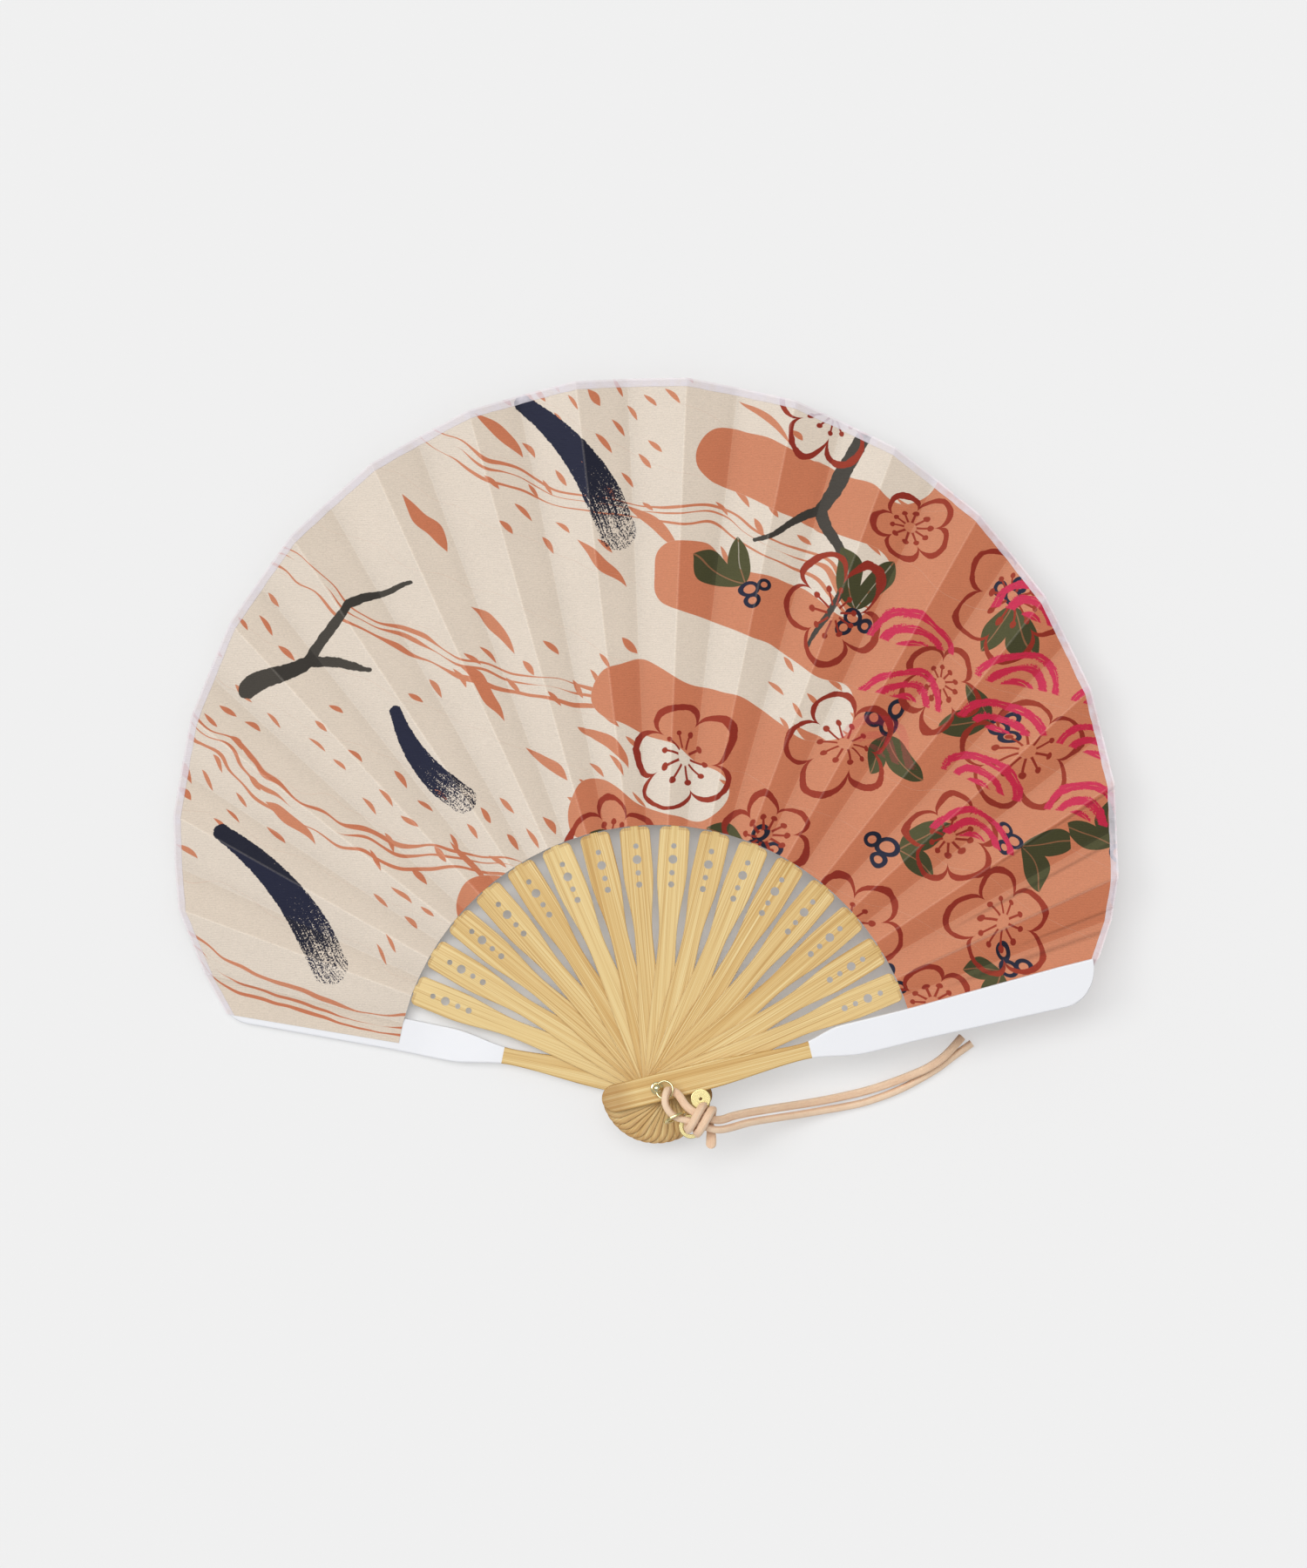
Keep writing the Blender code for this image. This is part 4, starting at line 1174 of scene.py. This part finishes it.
def drill_tree():
    """Drills a row of round holes through a strip, with Boolean differences."""
    places, radii = zip(*HOLE_LABELS)
    tree, given, made = node_tree("Rib holes", {"Vector": places, "Float": radii, "Material": ("Wood",)})
    put = given.outputs
    drills = add_node(tree, "GeometryNodeJoinGeometry")
    for place, radius in HOLE_LABELS:
        drill = add_node(
            tree, "GeometryNodeMeshCylinder", {"Vertices": DRILL_SIDES, "Radius": put[radius], "Depth": DRILL_DEPTH}
        )
        placed = add_node(
            tree, "GeometryNodeTransform", {"Geometry": drill.outputs[0], "Translation": put[place]}
        )
        plug(drills.inputs[0], placed.outputs[0])
    cut = add_node(
        tree, "GeometryNodeMeshBoolean", {0: put["Geometry"], 1: drills.outputs[0]}, operation="DIFFERENCE",
        solver="EXACT",
    )
    finish_tree(tree, cut.outputs[0], put["Wood"], made)
    return tree


def grain_map(mesh, offset, from_outline):
    """Lays the grain along the piece's own X, and keeps each place's distance from its outline.

    It is called before the piece is moved to its place.
    """
    grain = mesh.uv_layers.new(name="grain")
    outline = mesh.uv_layers.new(name="outline")
    for loop in mesh.loops:
        place = mesh.vertices[loop.vertex_index].co
        grain.data[loop.index].uv = (place.x + offset, place.y + place.z * GRAIN_LEAN)
        outline.data[loop.index].uv = (from_outline(place.x, place.y), place.x)


def from_rib_outline(u, v):
    if u < RIB_BUTT_HALF - BUTT_REACH:
        return inside_butt(RIB_BUTT_HALF, u, v)
    if u > RIB_BLADE_END - RIB_SHOULDER_RADIUS / 2:
        return max(0.0, STICK_HALF - abs(v))
    return rib_half_width(u) - abs(v)


def from_guard_outline(u, v):
    if u < GUARD_BUTT_HALF - BUTT_REACH:
        return inside_butt(GUARD_BUTT_HALF, u, v)
    return guard_half_width(u) - abs(v)


def guard_half_width(u, blade_at=GUARD_BLADE_AT):
    halves = (GUARD_BUTT_HALF, GUARD_WAIST_HALF, GUARD_BLADE_HALF)
    half = waisted(u, halves, GUARD_NECK_START, GUARD_WAIST_AT, blade_at)
    share = min(1.0, max(0.0, (u - GUARD_FLARE_AT) / (GUARD_FLARE_END - GUARD_FLARE_AT)))
    return half + (GUARD_TIP_HALF - GUARD_BLADE_HALF) * share


def guard_stations(blade_at):
    """Along a guard: (distance from the pin, leaf side, outer side, how far the bare wood lies under the lacquer)."""
    stations = [(place, half, half, LACQUER_STEP) for place, half in butt_arc(GUARD_BUTT_HALF)]
    bare = steps(BARE_START, LACQUER_START, BARE_STEPS)
    coated = [LACQUER_START] + steps(LACQUER_START + 2 * LACQUER_STEP, GUARD_FLARE_END, COATED_STEPS)
    for places, skin in ((bare, LACQUER_STEP), (coated, 0.0)):
        stations += [(u, guard_half_width(u, blade_at), guard_half_width(u), skin) for u in places]
    for cosine, sine in map(compass, steps(*TIP_TURNS, TIP_STEPS)):
        width = 2 * GUARD_TIP_HALF * sine
        stations.append((GUARD_FLARE_END + GUARD_TIP_CURVE * cosine, GUARD_TIP_HALF, width - GUARD_TIP_HALF, 0.0))
    return stations


def guard_blank(blade_at):
    """A guard in its own frame: bare at the pin, lacquered beyond; the second material is the lacquer."""
    rings = []
    for u, leaf_side, outer_side, skin in guard_stations(blade_at):
        bowed = ramp(u, GUARD_BOW_START, GUARD_BOW_END)
        inner = -BOW * bowed
        outer = inner - GUARD_BUTT_THICKNESS - (GUARD_THICKNESS - GUARD_BUTT_THICKNESS) * bowed
        section = rounded_section(-leaf_side + skin, outer_side - skin, outer + skin, inner - skin, GUARD_EDGE_RADIUS)
        rings.append([(u, v, w) for v, w in section])
    return lofted("guard_blank", rings)


def smooth_line(points, count):
    """A smooth line through all the points, with this many steps from each to the next."""
    padded = [points[0] * 2 - points[1]] + list(points) + [points[-1] * 2 - points[-2]]
    line = []
    for a, b, c, d in zip(padded, padded[1:], padded[2:], padded[3:]):
        for i in range(count):
            t = i / count
            line.append(
                (b * 2 + (c - a) * t + (a * 2 - b * 5 + c * 4 - d) * t**2 + (b * 3 - a - c * 3 + d) * t**3) / 2
            )
    return line + [points[-1]]


def knot_line():
    """A short tail from under both strands, then two turns of lace round them, back towards the pin."""
    axis = Vector((*compass(KNOT_AZIMUTH), 0))
    across = Vector((-axis.y, axis.x, 0))
    up = Vector((0, 0, 1))
    count = round((KNOT_END_ANGLE - KNOT_START_ANGLE) / 360 * KNOT_STEPS_PER_TURN)
    turns = []
    for angle in steps(KNOT_START_ANGLE, KNOT_END_ANGLE, count):
        cosine, sine = compass(angle)
        turns.append(
            KNOT_CENTRE
            - axis * KNOT_TURN_PITCH * (angle - KNOT_MIDDLE_ANGLE) / 360
            + across * KNOT_TURN_HALF_WIDTH * cosine
            + up * KNOT_TURN_HALF_HEIGHT * sine
        )
    tail = [Vector(point) * MM for point in KNOT_TAIL_ROUTE]
    line = smooth_line(tail + turns[:1], TAIL_STEPS)[:-1] + turns
    tip = [line[0].lerp(line[2], share) for share in TAIL_TIP_SHARES]
    return tip + line[2:]


def lace_mesh(name, line, thickness, tip=0.0):
    """A flat lace with rounded edges along a line, its first end rounded over the length of the tip.

    Its wide side keeps facing up where it can. The UV map holds the places along it and across it.
    """
    half = LACE_WIDTH / 2
    section = rounded_section(-half, half, -thickness / 2, thickness / 2, thickness * LACE_ROUNDING)
    rings = []
    runs = []
    run = 0.0
    for index, place in enumerate(line):
        before = line[max(0, index - 1)]
        after = line[min(len(line) - 1, index + 1)]
        forward = (after - before).normalized()
        if index == 0:
            side = forward.cross(Vector((0, 0, 1))).normalized()
        else:
            side = (side - forward * side.dot(forward)).normalized()
        top = side.cross(forward)
        run += (place - before).length
        short = max(0.0, 1 - run / tip) if tip else 0.0
        width = max(TAIL_NARROWEST, math.sqrt(1 - short * short))
        if tip:
            width *= 1 + TAIL_SWELL * (1 - ramp(run, TAIL_SWELL_START, TAIL_SWELL_END))
        rings.append([place + side * (v * width) + top * w for v, w in section])
        runs.append(run)
    mesh = lofted(name, rings)
    strap = mesh.uv_layers.new(name="strap")
    for loop in mesh.loops:
        ring, point = divmod(loop.vertex_index, len(section))
        strap.data[loop.index].uv = (runs[ring], section[point][0])
    return mesh


def lay_floor(look):
    """A wide plain floor. Its shadows are lightened, and less so in the gaps between the ribs."""
    paper, tree, shader = material("floor_paper", look.floor, Roughness=0.9, Specular_IOR_Level=0.1)
    glow = add_node(tree, "ShaderNodeEmission", {"Color": look.floor, "Strength": 1.0})
    x, y, _z = parts(object_place(tree))
    between_guards = (abs(x) * math.tan(math.radians(FRONT_AZIMUTH)) - y).inside(GAP_SOFTNESS)
    gaps = (distance_out(x, y) - GAP_REACH).inside(GAP_SOFTNESS) * between_guards
    lightening = camera_ray(tree) * (gaps * (look.gaps - look.shadow) + look.shadow)
    blend = add_node(tree, "ShaderNodeMixShader", {0: lightening, 1: shader.outputs[0], 2: glow.outputs[0]})
    plug(tree.nodes["Material Output"].inputs["Surface"], blend.outputs[0])
    bm = bmesh.new()
    bmesh.ops.create_grid(bm, x_segments=1, y_segments=1, size=FLOOR_SIZE)
    floor = add_piece("floor", mesh_from("floor", bm), paper)


def light_sky(scene, look):
    """A pale sky, stronger overhead, that the camera itself sees as white."""
    scene.world = bpy.data.worlds.new("studio")
    scene.world.use_nodes = True
    tree = scene.world.node_tree
    background = tree.nodes["Background"]
    height = parts(add_node(tree, "ShaderNodeTexCoord").outputs["Generated"])[2].clamped()
    sky = height * (look.zenith - look.horizon) + look.horizon
    plug(background.inputs["Color"], (1.0, 1.0, 1.0))
    plug(background.inputs["Strength"], camera_ray(tree) * (1.0 - sky) + sky)


def hang_suns(look):
    """Soft lights from the left and from above."""
    for name, azimuth, elevation, spread in SUNS:
        sun = bpy.data.lights.new(name, "SUN")
        sun.energy = getattr(look, name)
        sun.angle = math.radians(spread)
        lamp = add_object(name, sun)
        lamp.rotation_euler = (0.0, math.radians(90 - elevation), math.radians(azimuth))


def set_camera(scene):
    """The photograph's view from straight above, in focus at the fan's middle level."""
    data = bpy.data.cameras.new("camera")
    data.sensor_fit = "VERTICAL"
    data.sensor_height = SENSOR_HEIGHT
    data.lens = SENSOR_HEIGHT * (CAMERA_HEIGHT - FOCUS_LEVEL) / (PHOTO_HEIGHT * PIXEL)
    scene.camera = add_object("camera", data)
    right = (PHOTO_WIDTH / 2 - PIN_PIXEL[0]) * PIXEL
    up = (PIN_PIXEL[1] - PHOTO_HEIGHT / 2) * PIXEL
    scene.camera.location = (right, up, CAMERA_HEIGHT)


class FAN_OT_stage(bpy.types.Operator):
    """Sets up the floor, the light and the camera over the open fan"""

    bl_idname = "fan.stage"
    bl_label = "Stage"

    def execute(self, context):
        scene = context.scene
        scene.view_settings.view_transform = "Standard"
        lay_floor(scene.fan_stage)
        light_sky(scene, scene.fan_stage)
        hang_suns(scene.fan_stage)
        set_camera(scene)
        return {"FINISHED"}


class FAN_OT_laces(bpy.types.Operator):
    """Lays the leather lace: the loop with one strand, the other strand, and the knot"""

    bl_idname = "fan.laces"
    bl_label = "Laces"

    def execute(self, context):
        look = context.scene.fan_lace
        hide = leather(look)
        knot = add_piece("knot", lace_mesh("knot", knot_line(), look.thickness, TAIL_TIP), hide)
        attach(knot, REAR_BODY)
        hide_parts("lace_knot")
        for name, route, node in (("loop", LOOP_ROUTE, "lace_loop"), ("strand", UPPER_ROUTE, "lace_upper")):
            line = smooth_line([Vector(point) * MM for point in route], LACE_STEPS)
            piece = add_piece(name, lace_mesh(name, line, look.thickness), hide)
            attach(piece, REAR_BODY)
            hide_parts(node)
        return {"FINISHED"}


class FAN_OT_leaf(bpy.types.Operator):
    """Makes the pleated leaf, facet by facet, from guard to guard"""

    bl_idname = "fan.leaf"
    bl_label = "Leaf"

    def execute(self, context):
        cloths = leaf_cloth(context.scene.fan_leaf)
        tree = facet_tree()
        rear_edge = Fold(REAR_AZIMUTH + LEAF_LAP_ANGLE, REAR_LEAF_Z, 0.0, 0.0)
        rear_fold = Fold(REAR_AZIMUTH - GUARD_FOLD_ANGLE, REAR_LEAF_Z, 0.0, 0.0)
        front_fold = Fold(FRONT_AZIMUTH + GUARD_FOLD_ANGLE, FRONT_LEAF_Z, 0.0, 1.0)
        front_edge = Fold(FRONT_AZIMUTH - LEAF_LAP_ANGLE, FRONT_LEAF_Z, 0.0, 1.0)
        falling = (0.0, 1.0)
        rising = (1.0, 0.0)
        rear = (NO_FOLD, 1.0)
        front = (0.0, NO_FOLD)
        add_facet(tree, cloths, "facet_rear_end", rear_edge, rear_fold, rear, "leaf_end_rear", REAR_BODY)
        add_facet(tree, cloths, "facet_rising_00", rear_fold, ridge(1), rising, "leaf_end_rear")
        for number in range(1, RIB_COUNT + 1):
            body = f"rib_{number:02d}"
            node = f"leaf_glued_{number:02d}"
            name = f"facet_falling_{number:02d}"
            add_facet(tree, cloths, name, ridge(number), furrow(number), falling, node, body)
            if number < RIB_COUNT:
                node = f"leaf_fold_{number:02d}"
                name = f"facet_rising_{number:02d}"
                add_facet(tree, cloths, name, furrow(number), ridge(number + 1), rising, node)
        add_facet(tree, cloths, f"facet_rising_{RIB_COUNT}", furrow(RIB_COUNT), front_fold, rising, "leaf_end_front")
        add_facet(tree, cloths, "facet_front_end", front_fold, front_edge, front, "leaf_end_front", FRONT_BODY)
        return {"FINISHED"}


def drilled_rib(wood, edge):
    """The mesh of a rib with its holes, in its own frame, with a stick of unit length past the blade."""
    blank = add_piece("rib_blank", rib_blank(edge), wood)
    values = {"Wood": wood}
    for (place_label, radius_label), (place, diameter) in zip(HOLE_LABELS, DRILLED):
        values[place_label] = (place, 0.0, 0.0)
        values[radius_label] = diameter / 2
    mesh = mesh_by_nodes(blank, drill_tree(), values)
    smooth_faces(mesh)
    return mesh


class FAN_OT_ribs(bpy.types.Operator):
    """Makes the drilled bamboo ribs"""

    bl_idname = "fan.ribs"
    bl_label = "Ribs"

    def execute(self, context):
        look = context.scene.fan_ribs
        wood = bamboo("rib_bamboo", look)
        master = drilled_rib(wood, look.edge)
        chance = random.Random(GRAIN_SEED)
        for number in range(1, RIB_COUNT + 1):
            azimuth = rib_azimuth(number)
            mesh = master.copy()
            stick = rim_radius(azimuth) - STICK_SHORT_OF_RIM - RIB_BLADE_END
            for vertex in mesh.vertices:
                past = vertex.co.x - RIB_BLADE_END
                if past > TOLERANCE:
                    vertex.co.x = RIB_BLADE_END + past * stick
            grain_map(mesh, chance.uniform(0.0, GRAIN_SPREAD), from_rib_outline)
            mesh.transform(turned(azimuth, rib_level(number)))
            piece = add_piece(f"bamboo_rib_{number:02d}", mesh, wood)
            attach(piece, f"rib_{number:02d}")
            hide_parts(f"rib_{number:02d}")
        return {"FINISHED"}


class FAN_OT_guards(bpy.types.Operator):
    """Makes both guards, bare bamboo at the pin and white lacquer beyond"""

    bl_idname = "fan.guards"
    bl_label = "Guards"

    def execute(self, context):
        wood = bamboo("guard_bamboo", context.scene.fan_ribs)
        gloss = lacquer(context.scene.fan_guards)
        over = Matrix.Rotation(math.pi, 4, "X")
        places = (
            ("rear", REAR_BODY, GUARD_BLADE_AT, turned(REAR_AZIMUTH, REAR_INNER_Z)),
            ("front", FRONT_BODY, FRONT_BLADE_AT, turned(FRONT_AZIMUTH, FRONT_INNER_Z) @ over),
        )
        for offset, (side, body, blade_at, matrix) in zip(GUARD_GRAIN, places):
            mesh = guard_blank(blade_at)
            grain_map(mesh, offset, from_guard_outline)
            piece = add_piece(f"{side}_guard_stick", mesh, wood, gloss)
            for face in mesh.polygons:
                face.material_index = int(face.center.x > LACQUER_START - TOLERANCE)
            mesh.transform(matrix)
            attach(piece, body)
            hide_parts(f"guard_{side}")
        return {"FINISHED"}


def pin_profile():
    """(radius, height) up the pin: its lower head, shank, flange and ball."""
    inset = HEAD_RADIUS - HEAD_BEVEL
    edge = FLANGE_EDGE
    ball = arc(0.0, BALL_Z, BALL_RADIUS, FLANGE_MEETS_BALL, 90, BALL_STEPS)
    return [
        (0, 0), (inset, 0), *arc(inset, HEAD_BEVEL, HEAD_BEVEL, HEAD_FIRST_TURN, 0, HEAD_STEPS),
        (HEAD_RADIUS, HEAD_TOP - HEAD_BEVEL), (inset, HEAD_TOP), (PIN_RADIUS, HEAD_TOP), (PIN_RADIUS, FLANGE_Z),
        (FLANGE_RADIUS - FLANGE_STEP, FLANGE_Z),
        *arc(FLANGE_RADIUS - edge, FLANGE_Z + edge, edge, *FLANGE_EDGE_TURNS, FLANGE_EDGE_STEPS),
        *ball[:-1], (0.0, BALL_Z + BALL_RADIUS),
    ]


def ring_mesh():
    """The split ring, hung through the pin's eye."""
    wire = arc(RING_RADIUS, 0.0, RING_WIRE_RADIUS, 0, 360, WIRE_SIDES)[:-1]
    mesh = spun("split_ring", wire, RING_SIDES, closed=True)
    place = turned(RING_AZIMUTH, BALL_Z) @ Matrix.Rotation(-math.radians(RING_TILT), 4, "Y")
    mesh.transform(place @ Matrix.Translation((RING_RADIUS - RING_SETBACK, 0, 0)))
    return mesh


class FAN_OT_pin(bpy.types.Operator):
    """Makes the pin with its ball, and the split ring"""

    bl_idname = "fan.pin"
    bl_label = "Pin and ring"

    def execute(self, context):
        brass = metal("polished_brass", context.scene.fan_metal.brass, 0.2)
        pin = add_piece("ball_pin", spun("ball_pin", pin_profile(), PIN_SIDES), brass)
        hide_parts("pivot_pin")
        ring = add_piece("split_ring", ring_mesh(), brass)
        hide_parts("jump_ring")
        for piece in (pin, ring):
            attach(piece, REAR_BODY)
        return {"FINISHED"}


def washer(name, bore, radius, thickness):
    low, high = -thickness / 2, thickness / 2
    section = rounded_section(bore, radius, low, high, CHARM_EDGE_RADIUS, SMALL_CORNER_STEPS)
    return spun(name, section, CHARM_SIDES, closed=True)


class FAN_OT_charms(bpy.types.Operator):
    """Makes the disc and the two flat rings on the lace"""

    bl_idname = "fan.charms"
    bl_label = "Charms"

    def execute(self, context):
        gold = metal("pale_gold", context.scene.fan_metal.gold, 0.24)
        upright = Matrix.Rotation(math.radians(STANDING_RING_AZIMUTH), 4, "Z")
        upright = upright @ Matrix.Rotation(math.radians(90 - STANDING_RING_LEAN), 4, "Y")
        flat = (CHARM_RING_BORE, CHARM_RING_RADIUS, CHARM_RING_THICKNESS)
        charms = (
            ("standing_ring", flat, Matrix.Translation(STANDING_RING_CENTRE) @ upright, "charm_ring_standing"),
            ("lying_ring", flat, Matrix.Translation(LYING_RING_CENTRE), "charm_ring_lying"),
            ("disc", (DISC_BORE, DISC_RADIUS, DISC_THICKNESS), Matrix.Translation(DISC_CENTRE), "charm_disc"),
        )
        for name, sizes, matrix, node in charms:
            mesh = washer(name, *sizes)
            mesh.transform(matrix)
            piece = add_piece(name, mesh, gold)
            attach(piece, REAR_BODY)
            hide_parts(node)
        return {"FINISHED"}


SETTINGS = (
    ("fan_stage", StageSettings), ("fan_lace", LaceSettings), ("fan_leaf", LeafSettings), ("fan_ribs", RibSettings),
    ("fan_guards", GuardSettings), ("fan_metal", MetalSettings),
)
OPERATORS = (FAN_OT_stage, FAN_OT_laces, FAN_OT_leaf, FAN_OT_ribs, FAN_OT_guards, FAN_OT_pin, FAN_OT_charms)


class FAN_PT_fan(bpy.types.Panel):
    """Lists the fan's sizes, colours and operators"""

    bl_idname = "FAN_PT_fan"
    bl_label = "Folding fan"
    bl_space_type = "VIEW_3D"
    bl_region_type = "UI"
    bl_category = "Fan"

    def draw(self, context):
        for name, settings in SETTINGS:
            box = self.layout.box()
            for label in settings.__annotations__:
                box.prop(getattr(context.scene, name), label)
        for operator in OPERATORS:
            self.layout.operator(operator.bl_idname)


def register():
    for _name, settings in SETTINGS:
        bpy.utils.register_class(settings)
    for operator in OPERATORS:
        bpy.utils.register_class(operator)
    bpy.utils.register_class(FAN_PT_fan)
    for name, settings in SETTINGS:
        setattr(bpy.types.Scene, name, PointerProperty(type=settings))


def unregister():
    for name, _settings in SETTINGS:
        delattr(bpy.types.Scene, name)
    bpy.utils.unregister_class(FAN_PT_fan)
    for operator in reversed(OPERATORS):
        bpy.utils.unregister_class(operator)
    for _name, settings in reversed(SETTINGS):
        bpy.utils.unregister_class(settings)


def main():
    register()
    for name in ("stage", "laces", "leaf", "ribs", "guards", "pin", "charms"):
        getattr(bpy.ops.fan, name)()


if __name__ == "__main__":
    main()
